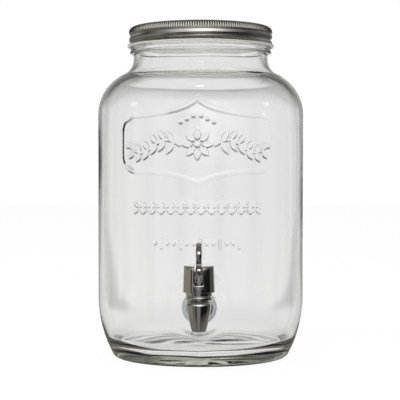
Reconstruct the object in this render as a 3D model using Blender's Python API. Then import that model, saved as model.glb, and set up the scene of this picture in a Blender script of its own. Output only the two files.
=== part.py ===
"""Glass dispenser jar: a one-gallon wide-mouth jar with a tinplate screw lid and a lever tap.

The jar stands on z = 0. The tap looks along -Y, and the jar's own axis is moved along +Y so that
the whole object is centred on the origin. Every size is set once below, in millimetres.
"""
import math

import bmesh
import bpy
from mathutils import Vector

MM = 0.001

# Running and seating gaps
GAP = 0.3                    # between faces that touch on the real object

# Glass jar: body
BODY_R = 80.0
WALL = 4.0
HEEL_TOP_Z = 47.0            # where the straight side begins
HEEL_R = 92.0                # radius of the long curve above the base
CORNER_R = 5.0               # radius between that curve and the base
FOOT_W = 7.4                 # width of the flat ring that the jar stands on
PUSH_UP = 4.0                # how far the base is domed up inside that ring
FLOOR_Z = 8.5                # thickness of the base at the foot of the wall
FLOOR_CROWN = 2.5            # the floor rises by this much at its centre
INNER_CORNER_R = 24.0

# Glass jar: shoulder, neck and finish
SHOULDER_Z = 188.0
SHOULDER_R = 34.5
NECK_R = 52.3
NECK_FILLET = 14.0
FINISH_STEP = 1.0            # the root of the screw thread stands out this far from the neck
BEAD_OUT = 2.9               # how far the bead stands out from the neck
BEAD_HALF = 1.8
COLLAR_OUT = 4.0             # how far the collar stands out from the root of the thread
COLLAR_HALF = 2.2
BEAD_RISE = 4.8              # foot of the neck to the middle of the bead
COLLAR_RISE = 4.6            # middle of the bead to the middle of the collar
FINISH_H = 12.5              # middle of the collar to the lip
LIP_ROUND = 1.5

# Lid and its sealing ring
SHEET = 0.4                  # tinplate
THREAD_H = 1.4               # height of the glass thread, which the skirt must clear
THREAD_CLEAR = 0.9
LINER_T = 1.5
LINER_LAP = 1.8              # how far the ring reaches in past the bore of the neck
PANEL_INSET = 4.0            # from the ring's inner edge to the pressed-in panel of the lid
PANEL_DEPTH = 0.8
LID_ROUND = 3.4
GRIP_H = 1.4                 # gripping band below the rounded edge
GROOVE_H = 2.2
GROOVE_DEPTH = 0.9
CURL = 0.5                   # how far the rolled bottom edge stands out
CURL_H = 1.5

# Seat for the tap, moulded in the glass
TAP_Z = 45.3
PAD_DEPTH = 2.6
PAD_R = 20.0
PAD_WALL = 4.2
HOLE_R = 8.0

# Tap: shank, gaskets and nut, along a level axis. Each lap is a radius less the hole's.
GASKET_LAP = 4.6
GASKET_T = 2.0
INNER_GASKET_LAP = 4.0
FLANGE_LAP = 1.8
FLANGE_T = 2.0
BARREL_R = 7.6
WASHER_LAP = 3.5
WASHER_T = 1.0
NUT_LAP = 3.5                # to the middle of a flat
NUT_T = 6.0
SHANK_SPARE = 3.5            # shank that shows past the nut
SHANK_BORE_R = 3.5
TAP_REACH = 25.6             # from the flat of the glass to the upright axis of the tap

# Tap: body, on its upright axis. Rises and drops are from the level axis.
TIP_DROP = 14.4
TIP_R = 4.95
TIP_WALL = 1.05
WIDE_RISE = 2.4
BODY_WALL = 2.0              # round the chamber, at the widest part
NECK_RISE = 7.9              # to the underside of the collar that the bonnet screws on
COLLAR_STEP = 1.4            # how far the collar stands out from the widest part
COLLAR_SHOW = 5.4            # collar that shows below the bonnet
SEAT_DROP = 4.6
SEAT_LEDGE = 0.1             # from the outlet's bore to the lower edge of the conical seat
SEAT_RISE = 1.8              # height of the conical seat
ENGAGE = 2.1                 # collar inside the bonnet

# Tap: bonnet
BONNET_WALL = 1.65           # at its lower edge
BONNET_TAPER = 0.6
BONNET_H = 18.6
BONNET_ROUND = 1.0
DECK_T = 1.4
GUIDE_WALL = 1.1             # tube below the deck that guides the stem
GUIDE_H = 4.5

# Tap: seat cup
CUP_FLANGE_T = 1.0
CUP_FLANGE_INSET = 0.5       # its edge, inside the edge of the collar below it
CUP_SKIRT_T = 0.9
CUP_SKIRT_CLEAR = 0.9        # between the skirt and the guide tube in it
PLUG_CLEAR = 0.7             # round the plug in its chamber
PLUG_H = 9.6                 # from the seat to the top of the plug

# Tap: stem, pin and lever
STEM_R = 2.5
BARB_OUT = 0.9               # how far the barb stands out from the stem
BARB_RISE = 4.1              # from the seat to the foot of the barb
BARB_H = 1.8
TONGUE_T = 2.4
PIN_R = 1.0
LIFT = 3.5                   # how far the plug rises off its seat
TILT_DEG = 80.0              # lever travel that gives that lift
CAM_BASE = 5.0               # pin to the foot of the lever, lever upright
LEVER_T = 4.1
FORK_SIDE_T = 1.35
RING_R = 8.0
RING_BAR = 3.0               # width of the ring's bar
LEVER_H = 24.3               # pin to the top of the ring

# Facets
JAR_SIDES = 48
TAP_SIDES = 36
SMALL_SIDES = 24

# Worked out from the sizes above
PAD_Y = BODY_R - PAD_DEPTH
TAP_Y = PAD_Y + TAP_REACH
PAD_IN_Y = PAD_Y - PAD_WALL
FLANGE_Y = PAD_Y + GAP + GASKET_T + GAP
SHANK_R = HOLE_R - GAP
FLANGE_R = HOLE_R + FLANGE_LAP
WASHER_Y = PAD_IN_Y - GAP - GASKET_T - GAP
NUT_Y = WASHER_Y - WASHER_T - GAP
SHANK_END_Y = NUT_Y - NUT_T - SHANK_SPARE

NECK_BORE_R = NECK_R - WALL
FINISH_R = NECK_R + FINISH_STEP
NECK_CENTRE_R = BODY_R - SHOULDER_R
NECK_FOOT_Z = SHOULDER_Z + math.sqrt((SHOULDER_R + NECK_FILLET) ** 2
                                     - (NECK_R + NECK_FILLET - NECK_CENTRE_R) ** 2)
BEAD_Z = NECK_FOOT_Z + BEAD_RISE
COLLAR_Z = BEAD_Z + COLLAR_RISE
LIP_Z = COLLAR_Z + FINISH_H
LINER_Z = LIP_Z + GAP
LID_Z = LINER_Z + LINER_T + GAP + SHEET
LINER_IN_R = NECK_BORE_R - LINER_LAP
PANEL_R = LINER_IN_R - PANEL_INSET
LID_R = FINISH_R + THREAD_H + THREAD_CLEAR + SHEET
LID_EDGE_Z = COLLAR_Z + COLLAR_HALF + GAP

TIP_Z = TAP_Z - TIP_DROP
WIDE_Z = TAP_Z + WIDE_RISE
NECK_Z = TAP_Z + NECK_RISE
BONNET_Z = NECK_Z + COLLAR_SHOW
SPIGOT_BORE_R = TIP_R - TIP_WALL
SEAT_Z = TAP_Z - SEAT_DROP
SEAT_R = SPIGOT_BORE_R + SEAT_LEDGE
GUIDE_BORE_R = STEM_R + GAP
GUIDE_R = GUIDE_BORE_R + GUIDE_WALL
SKIRT_IN_R = GUIDE_R + CUP_SKIRT_CLEAR
CHAMBER_R = SKIRT_IN_R + CUP_SKIRT_T + GAP
WIDE_R = CHAMBER_R + BODY_WALL
COLLAR_R = WIDE_R + COLLAR_STEP
COLLAR_TOP_Z = BONNET_Z + ENGAGE
CUP_Z = COLLAR_TOP_Z + GAP
PLUG_R = CHAMBER_R - PLUG_CLEAR
PLUG_TOP_Z = SEAT_Z + PLUG_H
DECK_Z = CUP_Z + CUP_FLANGE_T + GAP + DECK_T
SOCKET_R = COLLAR_R + GAP
BONNET_R = SOCKET_R + BONNET_WALL
JAR_Y = (TAP_Y + BONNET_R - BODY_R) / 2

BARB_Z = SEAT_Z + BARB_RISE
BARB_R = STEM_R + BARB_OUT
TONGUE_HALF = math.sqrt(STEM_R ** 2 - (TONGUE_T / 2) ** 2)    # its corners lie on the stem's circle
CAM_RATE = LIFT / math.radians(TILT_DEG)
PIN_Z = DECK_Z + GAP + CAM_BASE
FORK_W = TONGUE_T + 2 * (GAP + FORK_SIDE_T)


def remove_everything():
    for obj in list(bpy.data.objects):
        bpy.data.objects.remove(obj, do_unlink=True)


def finish_material(name, colour, roughness, metallic=0.0, transmission=0.0, ior=1.5):
    material = bpy.data.materials.new(name)
    material.use_nodes = True
    shader = material.node_tree.nodes["Principled BSDF"]
    shader.inputs["Base Color"].default_value = (*colour, 1.0)
    shader.inputs["Roughness"].default_value = roughness
    shader.inputs["Metallic"].default_value = metallic
    shader.inputs["Transmission Weight"].default_value = transmission
    shader.inputs["IOR"].default_value = ior
    return material


def add_empty(name, location, parent=None, turn_x=0.0):
    empty = bpy.data.objects.new(name, None)
    empty.location = Vector(location) * MM
    empty.rotation_euler = (turn_x, 0.0, 0.0)
    empty.parent = parent
    bpy.context.scene.collection.objects.link(empty)
    return empty


def add_object(name, bm, material, parent, location=(0, 0, 0), smooth_deg=35.0):
    bmesh.ops.recalc_face_normals(bm, faces=bm.faces)
    mesh = bpy.data.meshes.new(name)
    bm.to_mesh(mesh)
    bm.free()
    mesh.shade_smooth()
    mesh.set_sharp_from_angle(angle=math.radians(smooth_deg))
    if material:
        mesh.materials.append(material)
    obj = bpy.data.objects.new(name, mesh)
    obj.parent = parent
    obj.location = Vector(location) * MM
    bpy.context.scene.collection.objects.link(obj)
    return obj


def arc(centre, radius, start_deg, end_deg, steps):
    """Points of a circular arc in a profile, both ends included."""
    turn = math.radians(end_deg - start_deg)
    first = math.radians(start_deg)
    return [(centre[0] + radius * math.cos(first + turn * i / steps),
             centre[1] + radius * math.sin(first + turn * i / steps)) for i in range(steps + 1)]


def bead(base_r, tip_r, centre_z, half, steps=4):
    """Half-round bead on an upright wall, from its lower edge to its upper one."""
    angles = [math.radians(-90 + 180 * i / steps) for i in range(steps + 1)]
    return [(base_r + (tip_r - base_r) * math.cos(a), centre_z + half * math.sin(a)) for a in angles]


def tidy(points):
    """The same points without any that repeat the one before."""
    kept = []
    for point in points:
        if not kept or math.dist(point, kept[-1]) > 1e-4:
            kept.append(point)
    return kept


def lathe(points, sides):
    """A closed outline of (radius, height) turned about Z. An outline that ends on the axis is open."""
    points = tidy(points)
    bm = bmesh.new()
    verts = [bm.verts.new((r * MM, 0, z * MM)) for r, z in points]
    edges = [bm.edges.new(pair) for pair in zip(verts, verts[1:])]
    if points[0][0] > 0 or points[-1][0] > 0:
        edges.append(bm.edges.new((verts[-1], verts[0])))
    bmesh.ops.spin(bm, geom=verts + edges, cent=(0, 0, 0), axis=(0, 0, 1), angle=math.tau,
                   steps=sides, use_merge=True)
    bmesh.ops.remove_doubles(bm, verts=bm.verts, dist=0.001 * MM)
    return bm


def plate(outline, thickness, normal="X"):
    """A flat outline given a thickness, centred on its plane. Points are (Y, Z) or (X, Z)."""
    half = thickness / 2
    bm = bmesh.new()
    if normal == "X":
        verts = [bm.verts.new((-half * MM, a * MM, b * MM)) for a, b in outline]
        way = Vector((thickness, 0, 0)) * MM
    else:
        verts = [bm.verts.new((a * MM, -half * MM, b * MM)) for a, b in outline]
        way = Vector((0, thickness, 0)) * MM
    face = bm.faces.new(verts)
    grown = bmesh.ops.extrude_face_region(bm, geom=[face])
    moved = [item for item in grown["geom"] if isinstance(item, bmesh.types.BMVert)]
    bmesh.ops.translate(bm, verts=moved, vec=way)
    return bm


def block(low, high):
    """A rectangular block between two corners."""
    bm = bmesh.new()
    bmesh.ops.create_cube(bm, size=1.0)
    size = [(h - l) * MM for l, h in zip(low, high)]
    centre = [(h + l) / 2 * MM for l, h in zip(low, high)]
    bmesh.ops.scale(bm, verts=bm.verts, vec=size)
    bmesh.ops.translate(bm, verts=bm.verts, vec=centre)
    return bm


def rod(radius, low, high, sides):
    """A plain round rod about Z."""
    return lathe([(0, low), (radius, low), (radius, high), (0, high)], sides)


def as_tool(name, bm, parent, location=(0, 0, 0)):
    """A shape that only cuts or joins, hidden from the model."""
    tool = add_object(name, bm, None, parent, location)
    tool.hide_render = True
    tool.display_type = "WIRE"
    return tool


def combine(obj, tool, operation):
    step = obj.modifiers.new(tool.name, "BOOLEAN")
    step.operation = operation
    step.object = tool
    step.solver = "EXACT"


# ---------------------------------------------------------------- finishes

remove_everything()
GLASS = finish_material("clear_glass", (0.93, 0.95, 0.94), 0.02, transmission=1.0, ior=1.52)
TINPLATE = finish_material("tinplate", (0.62, 0.62, 0.61), 0.3, metallic=1.0)
CHROME = finish_material("chrome_plate", (0.56, 0.56, 0.55), 0.06, metallic=1.0)
PLASTISOL = finish_material("plastisol", (0.86, 0.86, 0.83), 0.55)
SILICONE = finish_material("silicone", (0.82, 0.84, 0.84), 0.4, transmission=0.5, ior=1.41)
ACETAL = finish_material("acetal", (0.88, 0.88, 0.86), 0.35)
NYLON = finish_material("nylon", (0.80, 0.80, 0.78), 0.45)
STEEL = finish_material("stainless_steel", (0.66, 0.66, 0.65), 0.25, metallic=1.0)

assembly = add_empty("assembly", (0, JAR_Y, 0))
# Along this empty's own +Z a piece moves out of the front of the jar.
tap_level = add_empty("tap_level", (0, 0, TAP_Z), assembly, turn_x=math.radians(90))
tap_upright = add_empty("tap_upright", (0, -TAP_Y, 0), assembly)


# ---------------------------------------------------------------- glass jar

def jar_outline():
    """Half section of the glass, from the middle of the base round the outside to the inner floor."""
    heel_centre = (BODY_R - HEEL_R, HEEL_TOP_Z)
    drop = HEEL_TOP_Z - CORNER_R
    corner_turn = math.degrees(math.asin(drop / (HEEL_R - CORNER_R)))
    corner_r = heel_centre[0] + (HEEL_R - CORNER_R) * math.cos(math.radians(corner_turn))
    corner = arc((corner_r, CORNER_R), CORNER_R, -90, -corner_turn, 3)
    heel = arc(heel_centre, HEEL_R, -corner_turn, 0, 4)

    foot_in_r = corner_r - FOOT_W
    dome_r = (foot_in_r ** 2 + PUSH_UP ** 2) / (2 * PUSH_UP)
    dome_deg = math.degrees(math.asin(foot_in_r / dome_r))
    base = arc((0, PUSH_UP - dome_r), dome_r, 90, 90 - dome_deg, 2)

    shoulder_centre = (NECK_CENTRE_R, SHOULDER_Z)
    fillet_centre = (NECK_R + NECK_FILLET, NECK_FOOT_Z)
    turn = math.degrees(math.atan2(fillet_centre[1] - SHOULDER_Z, fillet_centre[0] - NECK_CENTRE_R))
    shoulder = arc(shoulder_centre, SHOULDER_R, 0, turn, 7)
    neck = arc(fillet_centre, NECK_FILLET, 180 + turn, 180, 4)
    rings = (bead(NECK_R, NECK_R + BEAD_OUT, BEAD_Z, BEAD_HALF)
             + bead(FINISH_R, FINISH_R + COLLAR_OUT, COLLAR_Z, COLLAR_HALF))
    lip = (arc((FINISH_R - LIP_ROUND, LIP_Z - LIP_ROUND), LIP_ROUND, 0, 90, 2)
           + arc((NECK_BORE_R + LIP_ROUND, LIP_Z - LIP_ROUND), LIP_ROUND, 90, 180, 2))

    inner_neck = arc(fillet_centre, NECK_FILLET + WALL, 180, 180 + turn, 4)
    inner_shoulder = arc(shoulder_centre, SHOULDER_R - WALL, turn, 0, 5)
    reach = HEEL_R - WALL - INNER_CORNER_R
    floor_turn = math.degrees(math.asin((HEEL_TOP_Z - FLOOR_Z - INNER_CORNER_R) / reach))
    inner_heel = arc(heel_centre, HEEL_R - WALL, 0, -floor_turn, 2)
    floor_r = heel_centre[0] + reach * math.cos(math.radians(floor_turn))
    inner_corner = arc((floor_r, FLOOR_Z + INNER_CORNER_R), INNER_CORNER_R, -floor_turn, -90, 4)
    floor = [(floor_r * 0.5, FLOOR_Z + FLOOR_CROWN * 0.75), (0, FLOOR_Z + FLOOR_CROWN)]
    return (base + corner + heel + shoulder + neck + rings + lip + inner_neck + inner_shoulder
            + inner_heel + inner_corner + floor)


def make_jar():
    jar = add_object("glass_jar", lathe(jar_outline(), JAR_SIDES), GLASS, assembly, smooth_deg=40)
    boss = lathe([(0, PAD_IN_Y), (PAD_R + WALL, PAD_IN_Y), (PAD_R - 2 * WALL, PAD_Y - GAP),
                  (0, PAD_Y - GAP)], TAP_SIDES)
    combine(jar, as_tool("pad_boss", boss, tap_level), "UNION")
    seat = lathe([(0, PAD_Y), (PAD_R, PAD_Y), (PAD_R + PAD_DEPTH, BODY_R + PAD_DEPTH),
                  (0, BODY_R + PAD_DEPTH)], TAP_SIDES)
    combine(jar, as_tool("pad_seat", seat, tap_level), "DIFFERENCE")
    hole = rod(HOLE_R, PAD_IN_Y - WALL, BODY_R + PAD_DEPTH, TAP_SIDES)
    combine(jar, as_tool("tap_hole", hole, tap_level), "DIFFERENCE")


# ---------------------------------------------------------------- screw lid

def lid_outline():
    """Half section of the pressed sheet, over the outside and back under the inside."""
    band_top = LID_Z - LID_ROUND
    band_foot = band_top - GRIP_H
    groove_foot = band_foot - GROOVE_H
    skirt_r = LID_R - 0.1
    curl_top = LID_EDGE_Z + CURL_H
    over = [(0, LID_Z - PANEL_DEPTH), (PANEL_R, LID_Z - PANEL_DEPTH),
            (PANEL_R + 2 * PANEL_DEPTH, LID_Z)]
    over += arc((LID_R - LID_ROUND, band_top), LID_ROUND, 90, 0, 3)
    over += [(LID_R, band_foot), (LID_R - GROOVE_DEPTH, band_foot - GROOVE_H * 0.35),
             (LID_R - GROOVE_DEPTH, groove_foot + GROOVE_H * 0.35), (skirt_r, groove_foot)]
    rolled = [(skirt_r, curl_top), (skirt_r + CURL, curl_top - CURL_H * 0.33),
              (skirt_r + CURL, LID_EDGE_Z + CURL_H * 0.33), (skirt_r, LID_EDGE_Z),
              (skirt_r - SHEET, LID_EDGE_Z + SHEET / 2)]
    under = [(skirt_r - SHEET, groove_foot),
             (LID_R - GROOVE_DEPTH - SHEET, groove_foot + GROOVE_H * 0.35),
             (LID_R - GROOVE_DEPTH - SHEET, band_foot - GROOVE_H * 0.35), (LID_R - SHEET, band_foot)]
    under += arc((LID_R - LID_ROUND, band_top), LID_ROUND - SHEET, 0, 90, 2)
    under += [(PANEL_R + 2 * PANEL_DEPTH, LID_Z - SHEET),
              (PANEL_R, LID_Z - PANEL_DEPTH - SHEET), (0, LID_Z - PANEL_DEPTH - SHEET)]
    return over + rolled + under


def make_lid():
    add_object("lid_shell", lathe(lid_outline(), JAR_SIDES), TINPLATE, assembly, smooth_deg=30)
    outer_r = LID_R - LID_ROUND
    ring = [(LINER_IN_R, LINER_Z), (outer_r, LINER_Z), (outer_r, LINER_Z + LINER_T),
            (LINER_IN_R, LINER_Z + LINER_T)]
    add_object("lid_liner", lathe(ring, JAR_SIDES), PLASTISOL, assembly)


# ---------------------------------------------------------------- tap, along the level axis

def washer_outline(inner_r, outer_r, low, thickness, edge):
    """Flat ring with its outer corners taken off."""
    high = low + thickness
    return [(inner_r, low), (outer_r - edge, low), (outer_r, low + edge), (outer_r, high - edge),
            (outer_r - edge, high), (inner_r, high)]


def make_seals():
    bore_r = SHANK_R + GAP
    outer = washer_outline(bore_r, HOLE_R + GASKET_LAP, PAD_Y + GAP, GASKET_T, GASKET_T * 0.3)
    add_object("outer_gasket", lathe(outer, TAP_SIDES), SILICONE, tap_level)
    inner = washer_outline(bore_r, HOLE_R + INNER_GASKET_LAP, PAD_IN_Y - GAP - GASKET_T, GASKET_T,
                           GASKET_T * 0.3)
    add_object("inner_gasket", lathe(inner, TAP_SIDES), SILICONE, tap_level)
    slip = washer_outline(bore_r, HOLE_R + WASHER_LAP, WASHER_Y - WASHER_T, WASHER_T, WASHER_T * 0.2)
    add_object("slip_washer", lathe(slip, TAP_SIDES), NYLON, tap_level)


def make_nut():
    flat_r = HOLE_R + NUT_LAP
    corner_r = flat_r / math.cos(math.pi / 6)
    bm = lathe([(0, NUT_Y - NUT_T), (corner_r, NUT_Y - NUT_T), (corner_r, NUT_Y), (0, NUT_Y)], 6)
    nut = add_object("shank_nut", bm, NYLON, tap_level)
    chamfer = (corner_r - flat_r) * 0.8
    trim = washer_outline(0, corner_r + 0.1, NUT_Y - NUT_T - 1, NUT_T + 2, chamfer + 1)
    combine(nut, as_tool("nut_trim", lathe(trim, TAP_SIDES), tap_level), "INTERSECT")
    bore = rod(SHANK_R + GAP, NUT_Y - NUT_T - 1, NUT_Y + 1, TAP_SIDES)
    combine(nut, as_tool("nut_bore", bore, tap_level), "DIFFERENCE")


# ---------------------------------------------------------------- tap, on the upright axis

def nozzle_outline():
    """Teardrop below the collar: widest near the top, drawn in to the outlet."""
    length = WIDE_Z - TIP_Z
    taper = []
    for i in range(8):
        share = 1 - i / 8
        taper.append((WIDE_R - (WIDE_R - TIP_R) * share ** 1.35, WIDE_Z - length * share))
    round_z = (NECK_Z - WIDE_Z) * 2
    crown = []
    for i in range(4):
        rise = (NECK_Z - WIDE_Z) * i / 3
        crown.append((WIDE_R * math.sqrt(1 - (rise / round_z) ** 2), WIDE_Z + rise))
    return taper + crown


def make_body():
    groove_z = (NECK_Z + BONNET_Z) / 2
    bevel = 0.35
    collar = [(COLLAR_R - bevel, NECK_Z), (COLLAR_R, NECK_Z + bevel),
              (COLLAR_R, groove_z - 3 * bevel), (COLLAR_R - bevel, groove_z - 2 * bevel),
              (COLLAR_R - bevel, groove_z), (COLLAR_R, groove_z + bevel),
              (COLLAR_R, COLLAR_TOP_Z), (0, COLLAR_TOP_Z)]
    outline = [(0, TIP_Z)] + nozzle_outline() + collar
    body = add_object("tap_body", lathe(outline, TAP_SIDES), CHROME, tap_upright)
    level = [(0, SHANK_END_Y), (SHANK_R - 0.5, SHANK_END_Y), (SHANK_R, SHANK_END_Y + 0.5),
             (SHANK_R, FLANGE_Y), (FLANGE_R - 0.5, FLANGE_Y), (FLANGE_R, FLANGE_Y + 0.5),
             (FLANGE_R, FLANGE_Y + FLANGE_T - 0.7), (FLANGE_R - 0.7, FLANGE_Y + FLANGE_T),
             (BARREL_R, FLANGE_Y + FLANGE_T), (BARREL_R, TAP_Y), (0, TAP_Y)]
    combine(body, as_tool("shank_form", lathe(level, TAP_SIDES), tap_level), "UNION")
    core = [(0, TIP_Z - 1), (SPIGOT_BORE_R, TIP_Z - 1), (SPIGOT_BORE_R, SEAT_Z - 0.1), (SEAT_R, SEAT_Z),
            (CHAMBER_R, SEAT_Z + SEAT_RISE), (CHAMBER_R, COLLAR_TOP_Z + 1), (0, COLLAR_TOP_Z + 1)]
    combine(body, as_tool("chamber_core", lathe(core, TAP_SIDES), tap_upright), "DIFFERENCE")
    bore = rod(SHANK_BORE_R, SHANK_END_Y - 1, TAP_Y, SMALL_SIDES)
    combine(body, as_tool("shank_core", bore, tap_level), "DIFFERENCE")


def make_bonnet():
    top = BONNET_Z + BONNET_H
    under_z = DECK_Z - DECK_T
    outline = [(GUIDE_BORE_R, under_z - GUIDE_H), (GUIDE_R, under_z - GUIDE_H), (GUIDE_R, under_z),
               (SOCKET_R, under_z), (SOCKET_R, BONNET_Z), (BONNET_R - 0.3, BONNET_Z),
               (BONNET_R, BONNET_Z + 0.3)]
    outline += arc((BONNET_R - BONNET_TAPER - BONNET_ROUND, top - BONNET_ROUND), BONNET_ROUND, 0, 90, 3)
    outline += [(GUIDE_BORE_R, top)]
    bonnet = add_object("tap_bonnet", lathe(outline, TAP_SIDES), CHROME, tap_upright)
    half = FORK_W / 2 + GAP
    slot = block((-half, -2 * BONNET_R, DECK_Z), (half, CAM_BASE + 2 * GAP, top + 2))
    combine(bonnet, as_tool("lever_slot", slot, tap_upright), "DIFFERENCE")


def make_seat_cup():
    """Soft cup: a flange held under the bonnet, a thin skirt, and the plug that shuts the outlet."""
    rise = GAP * 1.5
    slope = SEAT_RISE / (CHAMBER_R - SEAT_R)
    nose_r = SEAT_R - 2 * GAP
    plug_z = SEAT_Z + rise + (PLUG_R - SEAT_R) * slope
    nose_z = SEAT_Z + rise + (nose_r - SEAT_R) * slope
    skirt_r = CHAMBER_R - GAP
    flange_r = COLLAR_R - CUP_FLANGE_INSET
    stem_r = STEM_R + GAP
    barb_r = BARB_R + GAP
    barb_top = BARB_Z + BARB_H + GAP
    outline = [(0, nose_z - 0.9), (nose_r - 1.0, nose_z - 0.7), (nose_r, nose_z), (PLUG_R, plug_z),
               (PLUG_R, PLUG_TOP_Z - 2), (SKIRT_IN_R, PLUG_TOP_Z), (skirt_r, PLUG_TOP_Z + 3),
               (skirt_r, CUP_Z), (flange_r, CUP_Z), (flange_r, CUP_Z + CUP_FLANGE_T),
               (SKIRT_IN_R, CUP_Z + CUP_FLANGE_T), (SKIRT_IN_R, PLUG_TOP_Z + 3),
               (stem_r + 0.6, PLUG_TOP_Z), (stem_r, PLUG_TOP_Z - 1), (stem_r, barb_top + BARB_OUT),
               (barb_r, barb_top), (barb_r, BARB_Z - GAP), (0, BARB_Z - GAP)]
    add_object("seat_cup", lathe(outline, SMALL_SIDES), SILICONE, tap_upright)


def make_stem():
    """Round stem with a barb in the plug. Above the deck it is a flat tongue with the pin's eye."""
    tongue_foot = DECK_Z - LIFT - GAP
    outline = [(0, BARB_Z), (BARB_R - 0.6, BARB_Z), (BARB_R, BARB_Z + 0.6), (BARB_R, BARB_Z + BARB_H),
               (STEM_R, BARB_Z + BARB_H + BARB_OUT), (STEM_R, tongue_foot), (0, tongue_foot)]
    stem = add_object("tap_stem", lathe(outline, SMALL_SIDES), ACETAL, tap_upright)
    tongue = [(-TONGUE_HALF, tongue_foot - 1), (TONGUE_HALF, tongue_foot - 1)]
    tongue += arc((0, PIN_Z), TONGUE_HALF, 0, 180, 10)
    combine(stem, as_tool("tongue_form", plate(tongue, TONGUE_T), tap_upright), "UNION")
    eye = rod(PIN_R + GAP, -TONGUE_T, TONGUE_T, 16)
    hole = as_tool("eye_hole", eye, tap_upright, (0, 0, PIN_Z))
    hole.rotation_euler = (0, math.radians(90), 0)
    combine(stem, hole, "DIFFERENCE")


def cam_outline():
    """Foot of the lever about its pin. Tilted by an angle, its lowest point drops by the cam rate
    times that angle, so the pin, and the stem on it, rise evenly."""
    heel = [(CAM_BASE * math.cos(math.radians(a)), CAM_BASE * math.sin(math.radians(a)))
            for a in (0, -18, -36, -54, -72, -90)]
    lobe = []
    for i in range(9):
        tilt = math.radians(TILT_DEG) * i / 8
        reach = CAM_BASE + CAM_RATE * tilt
        lobe.append((-reach * math.sin(tilt) - CAM_RATE * math.cos(tilt),
                     -reach * math.cos(tilt) + CAM_RATE * math.sin(tilt)))
    return heel + lobe


def make_lever():
    """Ring handle on a forked foot. Its origin is the pin."""
    ring_z = LEVER_H - RING_R
    waist_z = ring_z - RING_R
    waist = RING_R * 0.44
    ring = arc((0, ring_z), RING_R, 222, -42, 28)
    front = [(-waist * 1.9, waist_z * 0.42), (-waist * 1.22, waist_z * 0.75), (-waist, waist_z * 1.05)]
    back = [(waist, waist_z * 1.05), (waist * 1.15, waist_z * 0.6)]
    outline = cam_outline() + front + ring + back
    lever = add_object("tap_lever", plate(outline, FORK_W), CHROME, tap_upright, (0, 0, PIN_Z))
    top = ring_z + RING_R + 1
    foot = -CAM_BASE - LIFT
    sides = [(-FORK_W / 2, foot), (FORK_W / 2, foot), (FORK_W / 2, TONGUE_HALF), (LEVER_T / 2, waist_z),
             (LEVER_T / 2, top), (-LEVER_T / 2, top), (-LEVER_T / 2, waist_z), (-FORK_W / 2, TONGUE_HALF)]
    narrow = as_tool("lever_sides", plate(sides, 4 * RING_R, "Y"), tap_upright, (0, 0, PIN_Z))
    combine(lever, narrow, "INTERSECT")
    gap_w = TONGUE_T / 2 + GAP
    gap_top = TONGUE_HALF + 2 * GAP
    fork = [(-gap_w, foot - 1), (gap_w, foot - 1), (gap_w, gap_top), (0, gap_top + 1.6 * gap_w),
            (-gap_w, gap_top)]
    combine(lever, as_tool("fork_gap", plate(fork, 4 * RING_R, "Y"), tap_upright, (0, 0, PIN_Z)),
            "DIFFERENCE")
    for name, radius, height, sides_n in (("finger_hole", RING_R - RING_BAR, ring_z, 28),
                                          ("pin_hole", PIN_R + GAP, 0, 16)):
        tool = as_tool(name, rod(radius, -FORK_W, FORK_W, sides_n), tap_upright, (0, 0, PIN_Z + height))
        tool.rotation_euler = (0, math.radians(90), 0)
        combine(lever, tool, "DIFFERENCE")
    pin = add_object("lever_pin", rod(PIN_R, -FORK_W / 2, FORK_W / 2, 16), STEEL, tap_upright,
                     (0, 0, PIN_Z))
    pin.rotation_euler = (0, math.radians(90), 0)


make_jar()
make_lid()
make_seals()
make_nut()
make_body()
make_bonnet()
make_seat_cup()
make_stem()
make_lever()
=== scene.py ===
import math
from functools import partial

import bmesh
import bpy
import numpy as np
from mathutils import Matrix, Vector


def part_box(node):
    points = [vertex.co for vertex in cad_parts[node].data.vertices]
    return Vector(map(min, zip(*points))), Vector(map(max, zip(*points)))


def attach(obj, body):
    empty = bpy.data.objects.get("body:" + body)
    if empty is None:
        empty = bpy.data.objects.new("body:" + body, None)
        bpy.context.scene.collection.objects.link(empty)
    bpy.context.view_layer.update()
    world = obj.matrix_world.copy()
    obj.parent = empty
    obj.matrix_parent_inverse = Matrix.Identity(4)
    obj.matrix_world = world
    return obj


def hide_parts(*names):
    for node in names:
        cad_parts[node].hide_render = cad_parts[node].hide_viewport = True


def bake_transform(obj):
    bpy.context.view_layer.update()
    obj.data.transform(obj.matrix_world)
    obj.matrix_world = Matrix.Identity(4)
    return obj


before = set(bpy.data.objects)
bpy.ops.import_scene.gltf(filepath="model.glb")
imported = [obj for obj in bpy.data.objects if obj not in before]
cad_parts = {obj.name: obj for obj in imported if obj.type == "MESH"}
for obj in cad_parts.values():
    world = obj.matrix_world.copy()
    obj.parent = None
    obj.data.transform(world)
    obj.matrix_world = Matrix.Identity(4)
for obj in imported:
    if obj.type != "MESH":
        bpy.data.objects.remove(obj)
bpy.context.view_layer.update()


# ---------------------------------------------------------------- table
# The jar stands on a white laminate table that runs on into the white backdrop. Black flags stand
# all round it, as they do for glass on white, and draw the dark lines in its edges.

scene = bpy.context.scene
MM = 0.001
jar_low, jar_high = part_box("glass_jar")
BODY_R = (jar_high.x - jar_low.x) / 2 / MM
AXIS_Y = jar_high.y / MM - BODY_R       # the jar's own axis, a little behind the middle of the object


def linear(code):
    """A six-figure sRGB code as a linear colour with alpha."""
    parts = [int(code[i:i + 2], 16) / 255 for i in (0, 2, 4)]
    return [p / 12.92 if p <= 0.04045 else ((p + 0.055) / 1.055) ** 2.4 for p in parts] + [1.0]


def in_use(sockets, name=None):
    """The first of a node's sockets, or the first of a name, that its settings leave in use."""
    return next(socket for socket in sockets if socket.enabled and name in (None, socket.name))


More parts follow.
